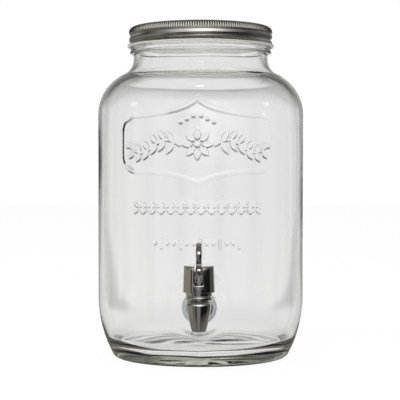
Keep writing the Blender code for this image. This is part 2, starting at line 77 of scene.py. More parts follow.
def add_node(tree, kind, inputs=None, stops=(), **settings):
    """Adds a shader node. Settings are its own options, and stops a ramp's places with their greys or
    colour codes. An input takes a value, a socket to link, or a node, whose output it links."""
    node = tree.nodes.new("ShaderNode" + kind)
    for name, value in settings.items():
        setattr(node, name, value)
    for name, value in (inputs or {}).items():
        entry = in_use(node.inputs, name) if isinstance(name, str) else node.inputs[name]
        if isinstance(value, bpy.types.Node):
            value = in_use(value.outputs)
        if isinstance(value, bpy.types.NodeSocket):
            tree.links.new(value, entry)
        else:
            entry.default_value = value
    if stops:
        elements = node.color_ramp.elements
        elements.remove(elements[1])
        for i, (place, value) in enumerate(stops):
            stop = elements.new(place) if i else elements[0]
            stop.position = place
            stop.color = linear(value) if isinstance(value, str) else (value, value, value, 1.0)
    return node


def new_material(name):
    """An empty material, what adds a node to it, and the place on the object that patterns follow."""
    material = bpy.data.materials.new(name)
    material.use_nodes = True
    material.node_tree.nodes.clear()
    add = partial(add_node, material.node_tree)
    return material, add, add("TexCoord").outputs["Object"]


def repeats(size):
    """How often a pattern of this size in millimetres fits into a metre."""
    return 1 / (size * MM)


FLAGS, FLAG_TONE, GAP_TONE = 8.0, 0.48, 0.84


def ring_of_flags(add, azimuth):
    """How bright the backdrop is round the jar: black flags, with white between them."""
    flag_turns = add("Math", {0: azimuth, 1: FLAGS}, operation="MULTIPLY")
    between = add("Math", {0: flag_turns}, operation="COSINE")
    return add("MapRange", {"Value": between, "From Min": -0.95, "From Max": -0.3, "To Min": FLAG_TONE,
                            "To Max": GAP_TONE}, interpolation_type="SMOOTHSTEP")


TABLE_HALF = 6000.0
table_mesh = bpy.data.meshes.new("table")
table_mesh.from_pydata([(x * TABLE_HALF * MM, y * TABLE_HALF * MM, 0)
                        for x, y in ((-1, -1), (1, -1), (1, 1), (-1, 1))], [], [(0, 1, 2, 3)])
table = bpy.data.objects.new("table", table_mesh)
scene.collection.objects.link(table)

# White laminate, faintly mottled, mostly lit by itself so that the jar's shadow on it is soft. Seen
# through the glass it carries painted light that fades away from the foot, and further out the flags'
# painted shade. The chrome mirrors a patch of it round the jar painted grey as shade, and past that
# the room.
FOOT_LIT, FOOT_R, OPEN_LIT, OPEN_R = 0.95, 55.0, 0.82, 90.0
SHADE_NEAR, SHADE_FAR = 260.0, 420.0
PATCH_R, PATCH_FADE_R = 110.0, 170.0
OWN_LIGHT, OWN_TONE = 0.86, 1.04
laminate, add, place = new_material("white_laminate")
path = add("LightPath").outputs
mottle = add("TexNoise", {"Vector": place, "Scale": repeats(111.1), "Detail": 3.0})
tone = add("ValToRGB", {"Fac": mottle}, [(0.3, "EDEDEC"), (0.7, "F2F2F1")])
lamp_lit = add("BsdfDiffuse", {"Color": tone})
axes = add("SeparateXYZ", {"Vector": place}).outputs
from_jar = add("Math", {0: axes["Y"], 1: -AXIS_Y * MM}, operation="ADD")
azimuth = add("Math", {0: axes["X"], 1: from_jar}, operation="ARCTAN2")
flags = ring_of_flags(add, azimuth)
away = add("VectorMath", {0: place}, operation="LENGTH")
shaded = add("MapRange", {"Value": away, "From Min": SHADE_NEAR * MM, "From Max": SHADE_FAR * MM},
             interpolation_type="SMOOTHSTEP")
# painted light: seen through the glass, the table is brightest at the jar's foot
painted_foot_light = add("MapRange", {"Value": away, "From Min": FOOT_R * MM, "From Max": OPEN_R * MM,
                             "To Min": FOOT_LIT, "To Max": OPEN_LIT})
through_glass = add("Mix", {"Factor": shaded, "A": painted_foot_light, "B": flags}, data_type="FLOAT")
seen = add("Mix", {"Factor": path["Is Transmission Ray"], "A": 1.0, "B": through_glass}, data_type="FLOAT")
own = add("Emission", {"Strength": seen, "Color": (OWN_TONE, OWN_TONE, OWN_TONE, 1.0)})
watched = add("Math", {0: path["Is Camera Ray"], 1: path["Is Transmission Ray"]}, operation="MAXIMUM")
share = add("Math", {0: watched, 1: OWN_LIGHT}, operation="MULTIPLY")
lit = add("MixShader", {0: share, 1: lamp_lit, 2: own})
# painted shade: the table turns grey where the chrome mirrors it near the jar
painted_shade_patch = add("BsdfDiffuse", {"Color": linear("8C8A85")})
beyond = add("BsdfTransparent")
faded = add("MapRange", {"Value": away, "From Min": PATCH_R * MM, "From Max": PATCH_FADE_R * MM})
in_chrome = add("MixShader", {0: faded, 1: painted_shade_patch, 2: beyond})
mirrored = add("Math", {0: path["Is Glossy Ray"], 1: path["Is Transmission Ray"]}, operation="SUBTRACT")
surface = add("MixShader", {0: mirrored, 1: lit, 2: in_chrome})
add("OutputMaterial", {"Surface": surface})
table_mesh.materials.append(laminate)


# ---------------------------------------------------------------- studio and camera
# A white backdrop with the black flags, which only the glass looks at, a grey room with a warm wall
# and a dark one, which the metal mirrors, and small soft lamps.

scene.view_settings.view_transform = "Standard"
world = bpy.data.worlds.new("studio")
scene.world = world
world.use_nodes = True
world.node_tree.nodes.clear()
add = partial(add_node, world.node_tree)
path = add("LightPath").outputs
way = add("TexCoord").outputs["Generated"]
axes = add("SeparateXYZ", {"Vector": way}).outputs
front = add("Math", {0: axes["Y"], 1: -1.0}, operation="MULTIPLY")
azimuth = add("Math", {0: axes["X"], 1: front}, operation="ARCTAN2")

# What the glass looks at: the flags, and over them a dark canopy with a grey opening at the top.
height = add("MapRange", {"Value": axes["Z"], "From Min": -1.0, "From Max": 1.0})
canopy = add("ValToRGB", {"Fac": height}, [
    (0.0, 0.8), (0.46, 1.0), (0.55, 1.0), (0.60, 0.55), (0.65, 0.16), (0.80, 0.10), (0.87, 0.5), (0.95, 0.7)])
backdrop = add("Mix", {"Factor": 1.0, "A": ring_of_flags(add, azimuth), "B": canopy},
               data_type="RGBA", blend_type="MULTIPLY")

# What the metal mirrors below its own height, from the back round by the left, the front and the
# right: white, a warm wall, a narrow lit gap, dim grey in front, black cloth, a cool wall and white.
turn = add("MapRange", {"Value": azimuth, "From Min": -math.pi, "From Max": math.pi})
WARM, COOL = "A09C93", "5C5D5C"
room = add("ValToRGB", {"Fac": turn}, [
    (0.0, 1.0), (0.030, 1.0), (0.045, 0.16), (0.16, WARM), (0.325, WARM), (0.335, 0.03), (0.355, 0.03),
    (0.362, 0.45), (0.372, 0.40), (0.385, 0.06), (0.44, 0.10), (0.47, 0.28), (0.52, 0.28), (0.55, 0.10),
    (0.57, 0.015), (0.745, 0.012), (0.755, COOL), (0.95, COOL), (0.97, 1.0)])

# Above its own height: one broad bright window in front, which gives the lid its soft highlight.
window = add("ValToRGB", {"Fac": turn}, [
    (0.0, 0.3), (0.05, 0.06), (0.24, 0.035), (0.29, 0.08), (0.34, 0.17), (0.39, 0.33), (0.45, 0.57),
    (0.50, 0.95), (0.54, 1.0), (0.575, 0.66), (0.62, 0.30), (0.66, 0.14), (0.72, 0.06), (0.95, 0.08),
    (1.0, 0.3)])
bright = add("VectorMath", {0: window, "Scale": 2.5}, operation="SCALE")
above = add("MapRange", {"Value": axes["Z"], "From Min": 0.0, "From Max": 0.05})
low_walls = add("Mix", {"Factor": above, "A": room, "B": bright}, data_type="RGBA")

# Over both hangs a grey ceiling. Behind the jar it is paler and comes lower, so that the flat of the
# lid reads as bright metal from above.
CEILING_FROM, CEILING_FULL, LOWER_BEHIND = 0.36, 0.55, -0.22
behind = add("MapRange", {"Value": axes["Y"], "From Min": 0.1, "From Max": 0.5})
roof = add("Mix", {"Factor": behind, "A": linear("6E6D6A"), "B": linear("B4B3AF")}, data_type="RGBA")
edges = [add("Math", {0: behind, 1: LOWER_BEHIND, 2: edge}, operation="MULTIPLY_ADD")
         for edge in (CEILING_FROM, CEILING_FULL)]
ceiling = add("MapRange", {"Value": axes["Z"], "From Min": edges[0], "From Max": edges[1]},
              interpolation_type="SMOOTHSTEP")
walls = add("Mix", {"Factor": ceiling, "A": low_walls, "B": roof}, data_type="RGBA")

# Dull surfaces get a plain grey, and the eye sees white.
DULL, WHITE = (0.72, 0.72, 0.72, 1.0), linear("FFFFFF")
mirrored = add("Mix", {"Factor": path["Is Glossy Ray"], "A": DULL, "B": walls}, data_type="RGBA")
through = add("Mix", {"Factor": path["Is Transmission Ray"], "A": mirrored, "B": backdrop}, data_type="RGBA")
seen = add("Mix", {"Factor": path["Is Camera Ray"], "A": through, "B": WHITE}, data_type="RGBA")
light = add("Background", {"Color": seen, "Strength": 1.0})
add("OutputWorld", {"Surface": light})

AIM = Vector((0.0, AXIS_Y, 150.0)) * MM
# name, degrees to the right of the front, degrees up, distance, width and height in metres, watts
LAMPS = [("key_box", 0.0, 63.0, 1.30, 0.13, 0.09, 0.65),
         ("left_box", -78.0, 17.0, 1.50, 0.22, 0.22, 0.35),
         ("right_box", 78.0, 17.0, 1.50, 0.22, 0.22, 0.35),
         ("soft_fill", -35.0, 50.0, 1.80, 1.10, 1.10, 14.0)]
lit_by_sides = bpy.data.collections.new("lit_by_side_boxes")
lit_by_key = bpy.data.collections.new("lit_by_key_box")
for name, turn_deg, rise_deg, distance, width, tall, watts in LAMPS:
    turn_by, rise = math.radians(turn_deg), math.radians(rise_deg)
    lamp = bpy.data.lights.new(name, "AREA")
    lamp.shape, lamp.size, lamp.size_y, lamp.energy = "RECTANGLE", width, tall, watts
    stand = bpy.data.objects.new(name, lamp)
    out = Vector((math.sin(turn_by) * math.cos(rise), -math.cos(turn_by) * math.cos(rise), math.sin(rise)))
    stand.location = AIM + out * distance
    stand.rotation_euler = out.to_track_quat("Z", "Y").to_euler()
    stand.visible_transmission = stand.visible_camera = False
    stand.visible_glossy = name != "soft_fill"
    if name != "soft_fill":
        stand.light_linking.receiver_collection = lit_by_key if name == "key_box" else lit_by_sides
    scene.collection.objects.link(stand)

CAMERA_AWAY, CAMERA_LEFT, CAMERA_Z = 980.0, 0.5, 137.5
CAMERA_TURN, CAMERA_DIP = math.radians(0.72), math.radians(0.925)
camera_data = bpy.data.cameras.new("camera")
camera_data.lens = 112.5
camera_data.clip_start = 0.05
camera = bpy.data.objects.new("camera", camera_data)
camera.location = ((CAMERA_AWAY * math.sin(CAMERA_TURN) - CAMERA_LEFT) * MM,
                   (AXIS_Y - CAMERA_AWAY * math.cos(CAMERA_TURN)) * MM, CAMERA_Z * MM)
camera.rotation_euler = (math.pi / 2 - CAMERA_DIP, 0.0, CAMERA_TURN)
scene.collection.objects.link(camera)
scene.camera = camera


# ---------------------------------------------------------------- glass jar
# One-gallon jar of clear soda-lime glass, pressed and blown in a mould: a raised panel and rows of
# ornament stand out of its front, a thick base settled below, and the hole for the tap is bored.

WALL, PUSH_UP, FOOT_W = 4.0, 4.0, 7.4
HEEL_TOP, HEEL_R, CORNER_R = 47.0, 92.0, 5.0
FLOOR_Z, FLOOR_CROWN, INNER_CORNER_R = 8.5, 2.5, 13.0
SHOULDER_Z, SHOULDER_R = 188.0, 34.5
NECK_R, NECK_FILLET, FINISH_R, LIP_ROUND = 52.3, 14.0, 53.3, 1.5
LIP_Z = jar_high.z / MM
BEAD_Z, BEAD_OUT, BEAD_HALF, SHELF_R = LIP_Z - 17.2, 2.9, 1.7, 54.4
NECK_FOOT_Z = BEAD_Z - 4.8
THREAD_LEAD, THREAD_H, THREAD_HALF, GLASS_THREAD_Z = 5.08, 1.2, 1.25, 247.4
TAP_Z, PAD_FACE, PAD_BACK, PAD_R, HOLE_R = 45.3, 77.4, 73.2, 20.0, 8.0
PANEL_TURN = -1.0                       # the mould's front is a little to the left of the tap
PANEL_HALF, PANEL_TOP, PANEL_FOOT, PANEL_CORNER_R = 61.8, 186.0, 142.0, 14.0
ROSETTE_Z, SPRAY_Z, GARLAND_Z, BEADS_Z = 163.0, 161.5, 117.0, 91.5


def arc(centre, radius, start_deg, end_deg, steps):
    """Points of a circular arc in a half section, both ends included."""
    angles = [math.radians(start_deg + (end_deg - start_deg) * i / steps) for i in range(steps + 1)]
    return [(centre[0] + radius * math.cos(a), centre[1] + radius * math.sin(a)) for a in angles]


def skin(rings, closed=False):
    """A mesh through a stack of rings, each (columns, points). Where one ring has fewer columns than
    its neighbour, each of its spans takes one many-sided face. A ring of one point closes an end."""
    if closed:
        rings = rings + rings[:1]
    starts = np.cumsum([0] + [len(points) for _, points in rings])
    if closed:
        starts[-2] = 0
    faces = []
    for i, ((a_cols, a_points), (b_cols, b_points)) in enumerate(zip(rings, rings[1:])):
        a0, b0 = int(starts[i]), int(starts[i + 1])
        n = max(len(a_points), len(b_points))
        if len(a_points) == 1:
            faces += [(a0, b0 + (k + 1) % n, b0 + k) for k in range(n)]
        elif len(b_points) == 1:
            faces += [(a0 + k, a0 + (k + 1) % n, b0) for k in range(n)]
        elif len(a_points) == len(b_points):
            faces += [(a0 + k, a0 + (k + 1) % n, b0 + (k + 1) % n, b0 + k) for k in range(n)]
        else:
            few, many, few0, many0 = ((a_cols, b_cols, a0, b0) if len(a_points) < len(b_points)
                                      else (b_cols, a_cols, b0, a0))
            spots = {c: k for k, c in enumerate(many)}
            for k in range(len(few)):
                low, high = spots[few[k]], spots[few[(k + 1) % len(few)]]
                span = list(range(low, high + 1 if high > low else n))
                span += [] if high > low else list(range(high + 1))
                face = [few0 + k, few0 + (k + 1) % len(few)] + [many0 + s for s in reversed(span)]
                faces.append(tuple(face) if few0 == a0 else tuple(reversed(face)))
    points = np.concatenate([np.asarray(p, float) for _, p in (rings[:-1] if closed else rings)]) * MM
    mesh = bpy.data.meshes.new("skin")
    mesh.from_pydata(points.tolist(), [], faces)
    return mesh


def turned(outline, sides):
    """Rings of an outline of (radius, height) turned about Z. A radius of nought is one point."""
    turn_by = np.arange(sides) * math.tau / sides
    return [([0], np.array([(0.0, 0.0, z)])) if r == 0 else
            (range(sides), np.stack([r * np.cos(turn_by), r * np.sin(turn_by), np.full(sides, z)], 1))
            for r, z in outline]


def smooth(mesh, sharp_deg):
    """Smooths a mesh except at the edges that are sharper than an angle."""
    mesh.shade_smooth()
    mesh.set_sharp_from_angle(angle=math.radians(sharp_deg))


def add_piece(name, shape, material=None, sharp_deg=40.0, where=None, closed=False):
    """Puts a piece in the scene, from its rings or its mesh: faces outward, smooth but at sharp edges."""
    mesh = shape if isinstance(shape, bpy.types.Mesh) else skin(shape, closed)
    mesh.name = name
    if where:
        mesh.transform(where)
    form = bmesh.new()
    form.from_mesh(mesh)
    bmesh.ops.remove_doubles(form, verts=form.verts, dist=1e-7)
    bmesh.ops.recalc_face_normals(form, faces=form.faces)
    form.to_mesh(mesh)
    form.free()
    smooth(mesh, sharp_deg)
    if material:
        mesh.materials.append(material)
    piece = bpy.data.objects.new(name, mesh)
    scene.collection.objects.link(piece)
    return piece


def set_in_mesh(piece):
    """Makes what the piece's modifiers do a part of its own mesh."""
    shaped = piece.evaluated_get(bpy.context.evaluated_depsgraph_get())
    piece.data = bpy.data.meshes.new_from_object(shaped)
    piece.modifiers.clear()


def combine(piece, operation, tool):
    """Cuts or joins a piece with another shape, which is then gone."""
    step = piece.modifiers.new("form", "BOOLEAN")
    step.operation, step.object, step.solver = operation, tool, "EXACT"
    set_in_mesh(piece)
    bpy.data.objects.remove(tool)


def smoothstep(low, high, value):
    """Nought before low, one after high, and a soft rise between them. High may be the smaller."""
    share = np.clip((value - low) / (high - low), 0, 1)
    return share * share * (3 - 2 * share)


# The moulded front: s runs to the right round the body and z up, from the panel's own middle.

def distance_to(line, s, z):
    """Distance from places on the front to a run of points."""
    best = np.full(s.shape, 1e9)
    for (s0, z0), (s1, z1) in zip(line, line[1:]):
        ds, dz = s1 - s0, z1 - z0
        along = np.clip(((s - s0) * ds + (z - z0) * dz) / (ds ** 2 + dz ** 2), 0, 1)
        best = np.minimum(best, np.hypot(s - s0 - along * ds, z - z0 - along * dz))
    return best


def depth_inside(outline, s, z):
    """Distance to a closed outline, positive inside it."""
    line = outline + outline[:1]
    inside = np.zeros(s.shape, bool)
    for (s0, z0), (s1, z1) in zip(line, line[1:]):
        if z0 != z1:
            inside ^= ((z0 > z) != (z1 > z)) & (s < (s1 - s0) * (z - z0) / (z1 - z0) + s0)
    away = distance_to(line, s, z)
    return np.where(inside, away, -away)


def panel_outline():
    """Label panel with round corners, drawn up to a peak and down to a point by hollow sweeps."""
    corner_s = PANEL_HALF - PANEL_CORNER_R
    half = [(s, PANEL_TOP + up) for s, up in
            ((0.0, 12.0), (3.6, 9.0), (8.0, 6.4), (14.0, 4.2), (22.0, 2.4), (31.0, 1.0), (42.0, 0.0))]
    half += arc((corner_s, PANEL_TOP - PANEL_CORNER_R), PANEL_CORNER_R, 90, 0, 8)
    half += arc((corner_s, PANEL_FOOT + PANEL_CORNER_R), PANEL_CORNER_R, 0, -90, 8)
    half += [(s, PANEL_FOOT - down) for s, down in
             ((38.0, 0.1), (27.0, 1.0), (17.0, 2.8), (8.0, 5.6), (0.0, 8.6))]
    return half + [(-s, z) for s, z in reversed(half[1:-1])]


def leaf(s, z, at, turn_deg, length, width, height):
    """A raised leaf that starts at a point and grows along a direction, thickest near its middle."""
    turn_by = math.radians(turn_deg)
    along = (s - at[0]) * math.cos(turn_by) + (z - at[1]) * math.sin(turn_by)
    across = -(s - at[0]) * math.sin(turn_by) + (z - at[1]) * math.cos(turn_by)
    share = np.clip(along / length, 0, 1)
    edge = width / 2 * np.sin(np.pi * share ** 0.8) - np.abs(across)
    inside = smoothstep(0.0, 0.75, edge) * ((along > 0) & (along < length))
    vein = 1 - 0.35 * np.exp(-(across / 0.35) ** 2)
    return height * inside * vein


def pearl(s, z, at, radius, height):
    """A raised dome."""
    away = np.hypot(s - at[0], z - at[1])
    return height * np.sqrt(np.clip(1 - (away / radius) ** 2, 0, 1))


def cord_line(s, z, line, width, height):
    """A raised line of round section through a run of points."""
    return height * smoothstep(width / 2, width / 2 - 0.6, distance_to(line, s, z))


def front_relief(turn_deg, z):
    """Height of the moulded ornament on the front, over degrees from the front and height."""
    s = np.radians(turn_deg - PANEL_TURN) * BODY_R
    inside = depth_inside(panel_outline(), s, z)
    # the panel's rim is crisp at its left end and on the left of its peak, and worn soft elsewhere
    crisp = smoothstep(-48.0, -56.0, s)
    crisp += smoothstep(5.0, -2.0, s) * smoothstep(-26.0, -13.0, s) * smoothstep(168.0, 187.0, z)
    crisp = np.clip(crisp, 0, 1)
    soft = 2.6 - 1.9 * crisp
    rim = (0.38 + 0.95 * crisp) * smoothstep(-soft / 2, soft / 2, inside)
    left = smoothstep(-54.0, -59.0, s)                       # there it is narrow, and steep inside
    rim -= (0.22 + 0.35 * crisp + 0.6 * left) * smoothstep(2.4 - 1.5 * left, 3.9 - 2.2 * left, inside)

    shapes = [np.zeros(s.shape), pearl(s, z, (0.0, ROSETTE_Z), 2.6, 1.0)]
    for k in range(8):                                       # rosette in the middle of the panel
        way = math.radians(45.0 * k)
        start = (2.8 * math.cos(way), ROSETTE_Z + 2.8 * math.sin(way))
        shapes.append(leaf(s, z, start, 45.0 * k, 9.6, 5.6, 0.9))
    for side in (-1, 1):                                     # leaf sprays to both sides of it
        spine = lambda x: (side * x, SPRAY_Z + 4.5 * math.sin((x - 12.0) / 42.0 * math.tau))
        shapes.append(cord_line(s, z, [spine(x) for x in np.arange(13, 54, 2.0)], 2.1, 0.8))
        for k in range(6):
            for lean in (56.0, -56.0):
                turn_by = lean if side > 0 else 180.0 - lean
                shapes.append(leaf(s, z, spine(17.0 + 6.6 * k), turn_by, 11.5 - 0.7 * k, 5.0, 0.9))
        shapes.append(pearl(s, z, (side * 55.5, 162.0), 2.0, 0.9))
        for k in range(3):                                   # berries under the peak of the panel
            shapes.append(pearl(s, z, (side * (2.8 + 4.6 * k), 183.6 - 2.2 * k), 1.6, 0.8))
    for k in range(-6, 7):                                   # garland of paired leaves below the panel
        x = k * 7.4 - 1.0
        shapes += [leaf(s, z, (x, GARLAND_Z), lean, 7.6, 3.4, 0.8) for lean in (42.0, 138.0, -42.0, -138.0)]
        shapes.append(pearl(s, z, (x + 3.7, GARLAND_Z), 1.4, 0.8))
    for k in range(-7, 7):                                   # row of pearls and short bars under it
        x = k * 4.8 + 2.0
        shapes.append(pearl(s, z, (x, BEADS_Z), 1.7, 0.8) if k % 3 else
                      cord_line(s, z, [(x, BEADS_Z - 3.5), (x, BEADS_Z + 3.5)], 2.3, 0.75))
    return rim + np.max(shapes, axis=0)


# Columns of points round the jar, in degrees from the front. The front ones are close together.
front_turns = np.arange(-47.0, 47.01, 0.4)
turns = np.concatenate([front_turns, np.linspace(47.0, 313.0, 90)[1:-1]])
every = {kind: [k for k in range(len(turns)) if k >= len(front_turns) or k % step == 0]
         for kind, step in (("fine", 1), ("middle", 2), ("coarse", 6))}

# The jar's half section, outside from the middle of the push-up to the lip, and inside down to the floor.
heel_centre = (BODY_R - HEEL_R, HEEL_TOP)
corner_turn = math.degrees(math.asin((HEEL_TOP - CORNER_R) / (HEEL_R - CORNER_R)))
corner_middle_r = heel_centre[0] + (HEEL_R - CORNER_R) * math.cos(math.radians(corner_turn))
foot_in = corner_middle_r - FOOT_W
dome_r = (foot_in ** 2 + PUSH_UP ** 2) / (2 * PUSH_UP)
dome_deg = math.degrees(math.asin(foot_in / dome_r))
shoulder_centre = (BODY_R - SHOULDER_R, SHOULDER_Z)
fillet_centre = (NECK_R + NECK_FILLET, NECK_FOOT_Z)
shoulder_turn = math.degrees(math.atan2(NECK_FOOT_Z - SHOULDER_Z, fillet_centre[0] - shoulder_centre[0]))
low_turn = math.degrees(math.asin((HEEL_TOP - 20.0) / HEEL_R))
relief_top = math.degrees(math.asin((199.5 - SHOULDER_Z) / SHOULDER_R))


def bead(base, tip, middle, half, steps):
    """The outline of a round bead that stands out of a wall."""
    angles = [math.pi * (i / steps - 0.5) for i in range(steps + 1)]
    return [(base + (tip - base) * math.cos(a), middle + half * math.sin(a)) for a in angles]


def straight(low, high, step, radius=BODY_R):
    """Points up or down a straight wall, without the last."""
    n = max(1, round((high - low) / step))
    return [(radius, low + (high - low) * i / n) for i in range(n)]


outside = [("coarse", p) for p in arc((0, PUSH_UP - dome_r), dome_r, 90, 90 - dome_deg, 10)[1:]
           + arc((corner_middle_r, CORNER_R), CORNER_R, -90, -corner_turn, 9)
           + arc(heel_centre, HEEL_R, -corner_turn, -low_turn, 9)[1:]]
outside += [("middle", p) for p in arc(heel_centre, HEEL_R, -low_turn, 0, 24)[1:-1]
            + straight(HEEL_TOP, 70.0, 1.2)]
outside += [("coarse", p) for p in straight(70.0, 85.0, 2.5)]
for low, high, step in ((85.0, 98.0, 0.6), (98.0, 108.0, 1.5), (108.0, 127.0, 0.6), (127.0, 132.0, 1.2),
                        (132.0, SHOULDER_Z, 0.56)):           # closest together where the ornament is
    outside += [("fine", p) for p in straight(low, high, step)]
outside += [("fine", p) for p in arc(shoulder_centre, SHOULDER_R, 0, relief_top, 23)]
outside += [("coarse", p) for p in arc(shoulder_centre, SHOULDER_R, relief_top, shoulder_turn, 22)[1:]
            + arc(fillet_centre, NECK_FILLET, 180 + shoulder_turn, 180, 6)[1:]
            + bead(NECK_R, NECK_R + BEAD_OUT, BEAD_Z, BEAD_HALF, 12)[:9]
            + [(SHELF_R, BEAD_Z + z) for z in (1.8, 2.6, 3.4)]
            + [(SHELF_R - 0.4, BEAD_Z + 3.75), (FINISH_R + 0.1, BEAD_Z + 3.9)]
            + straight(BEAD_Z + 4.3, LIP_Z - LIP_ROUND, 0.36, FINISH_R)
            + arc((FINISH_R - LIP_ROUND, LIP_Z - LIP_ROUND), LIP_ROUND, 0, 90, 5)]
bore_r = NECK_R - WALL
floor_reach = HEEL_R - WALL - INNER_CORNER_R
floor_turn = math.degrees(math.asin((HEEL_TOP - FLOOR_Z - INNER_CORNER_R) / floor_reach))
floor_r = heel_centre[0] + floor_reach * math.cos(math.radians(floor_turn))
inside = (arc((bore_r + LIP_ROUND, LIP_Z - LIP_ROUND), LIP_ROUND, 90, 180, 5)
          + straight(LIP_Z - LIP_ROUND - 1, NECK_FOOT_Z + 1, -2.0, bore_r)
          + arc(fillet_centre, NECK_FILLET + WALL, 180, 180 + shoulder_turn, 6)
          + arc(shoulder_centre, SHOULDER_R - WALL, shoulder_turn, 0, 16)[1:]
          + straight(SHOULDER_Z - 2.5, HEEL_TOP, -3.0, BODY_R - WALL)
          + arc(heel_centre, HEEL_R - WALL, 0, -floor_turn, 10)
          + arc((floor_r, FLOOR_Z + INNER_CORNER_R), INNER_CORNER_R, -floor_turn, -90, 12)[1:]
          + [(floor_r * (1 - i / 12), FLOOR_Z + FLOOR_CROWN * (1 - (1 - i / 12) ** 2)) for i in range(1, 12)])

CORNER_RISE, CORNER_FADE = 1.2, 9.0     # the settled glass is thicker in the corner, but not in front
NECK_THICK, NECK_THICK_Z, NECK_THICK_HALF = 1.2, 220.0, 4.0     # a ring of thicker glass under the neck
PAD_BLEND, PAD_REACH = 0.35, 34.0       # the flat's edge is soft, as moulded glass is


def glass_ring(radius, z, columns, pad_face, is_inside):
    """One ring of the jar's wall, with the flat for the tap, and inside the ripples left by blowing."""
    turn_deg = turns[columns]
    turn_by = np.radians(turn_deg)
    radius = np.full(turn_by.shape, float(radius))
    z = np.full(turn_by.shape, float(z))
    pad_r, pad_slope = PAD_R, 1.0
    if is_inside:
        pad_r, pad_slope = PAD_R + 4.0, 0.8
        upright = smoothstep(20.0, 60.0, z) * smoothstep(228.0, 200.0, z)
        radius += upright * (0.10 * np.sin(3 * turn_by + 0.8 + z / 41.0)
                             + 0.07 * np.sin(5 * turn_by - z / 27.0)
                             + 0.05 * np.sin(z / 9.5 + 2 * turn_by))
        settled = smoothstep(60.0, 25.0, z) * smoothstep(4.0, 22.0, radius)
        z += settled * (0.3 * np.sin(4 * turn_by + 0.6) * np.sin(radius / 9.0)
                        + 0.2 * np.sin(7 * turn_by - radius / 6.0))
        from_front = np.minimum(turn_deg % 360.0, 360.0 - turn_deg % 360.0)
        z += (smoothstep(46.0, 66.0, radius) * smoothstep(34.0, 14.0, z)
              * CORNER_RISE * (1.0 - np.exp(-from_front / CORNER_FADE)))
        # thickest in front and behind, so that the neck's edges stay thin and pale
        thick = NECK_THICK * np.abs(np.cos(turn_by)) ** 2
        thick = thick * (1.0 + 0.35 * np.sin(3 * turn_by + 1.0) + 0.2 * np.sin(8 * turn_by))
        radius -= thick * np.exp(-((z - NECK_THICK_Z) / NECK_THICK_HALF) ** 2) * (radius > 49.0)
    x, deep = radius * np.sin(turn_by), radius * np.cos(turn_by)
    from_tap = np.hypot(x, z - TAP_Z)
    limit = pad_face + np.maximum(0.0, from_tap - pad_r) * pad_slope
    near = (from_tap < PAD_REACH) & (np.cos(turn_by) > 0.5)
    flat = limit - PAD_BLEND * np.log1p(np.exp(np.clip((limit - deep) / PAD_BLEND, -30, 30)))
    return np.stack([x, AXIS_Y - np.where(near, np.minimum(deep, flat), deep), z], 1)


rings = [([0], np.array([(0.0, AXIS_Y, PUSH_UP)]))]
for i, (kind, (radius, z)) in enumerate(outside):
    columns = every[kind]
    turn_deg = turns[columns]
    before, after = outside[max(i - 1, 0)][1], outside[min(i + 1, len(outside) - 1)][1]
    slope = Vector((after[1] - before[1], before[0] - after[0])).normalized()
    rise = np.zeros(len(columns))
    if kind == "fine":
        rise = front_relief(turn_deg, np.full(len(columns), z)) * (np.abs(turn_deg) < 50)
    if abs(radius - FINISH_R) < 0.01:                        # the screw thread, a little over one turn
        for back in (0.0, 360.0):
            at = turn_deg - back
            fade = smoothstep(-215.0, -190.0, at) * smoothstep(215.0, 190.0, at)
            away = (z - GLASS_THREAD_Z - THREAD_LEAD * at / 360.0) / THREAD_HALF
            rise = np.maximum(rise, THREAD_H * fade * np.clip(1 - away ** 2, 0, 1) ** 0.75)
    turn_by, outward = np.radians(turn_deg), rise * slope[0]
    relief = np.stack([outward * np.sin(turn_by), -outward * np.cos(turn_by), rise * slope[1]], 1)
    rings.append((columns, glass_ring(radius, z, columns, PAD_FACE, False) + relief))
rings += [(every["coarse"], glass_ring(radius, z, every["coarse"], PAD_BACK, True)) for radius, z in inside]
rings.append(([0], np.array([(0.0, AXIS_Y, FLOOR_Z + FLOOR_CROWN)])))

# Clear soda-lime glass, fire polished: mirror-smooth with faint waves 26 mm long, and a little green
# and dark where it is thick. Lamps shine through it, so that its shadow on the table is faint.
glass, add, place = new_material("clear_soda_lime_glass")
path = add("LightPath").outputs
waves = add("TexNoise", {"Vector": place, "Scale": repeats(26.32), "Detail": 1.0})
ripple = add("Bump", {"Height": waves, "Strength": 0.12, "Distance": 0.6 * MM})
body = add("BsdfPrincipled", {"Base Color": linear("FFFFFF"), "Roughness": 0.0, "IOR": 1.52,
                              "Transmission Weight": 1.0, "Normal": ripple})
clear = add("BsdfTransparent")
lamp_side = add("MixShader", {0: path["Is Shadow Ray"], 1: body, 2: clear})
depth = add("VolumeAbsorption", {"Color": linear("E8E9E3"), "Density": 16.0})
add("OutputMaterial", {"Surface": lamp_side, "Volume": depth})

jar = add_piece("jar_glass", rings, glass)
# turned things that lie along the tap's shank are drawn upright and then tipped over with this
level = Matrix.Translation((0, AXIS_Y * MM, TAP_Z * MM)) @ Matrix.Rotation(math.radians(90), 4, "X")
drill = [(0.0, 60.0), (HOLE_R, 60.0), (HOLE_R, 90.0), (0.0, 90.0)]
combine(jar, "DIFFERENCE", add_piece("tap_hole", turned(drill, 96), where=level))
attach(jar, "jar")
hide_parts("glass_jar")
lit_by_sides.objects.link(jar)
lit_by_key.objects.link(jar)


# ---------------------------------------------------------------- lid shell
# One-piece screw lid pressed from tinplate: knurled gripping band, groove, a thread rolled in from
# the outside and a curled lower edge. It screws down on the jar's thread.

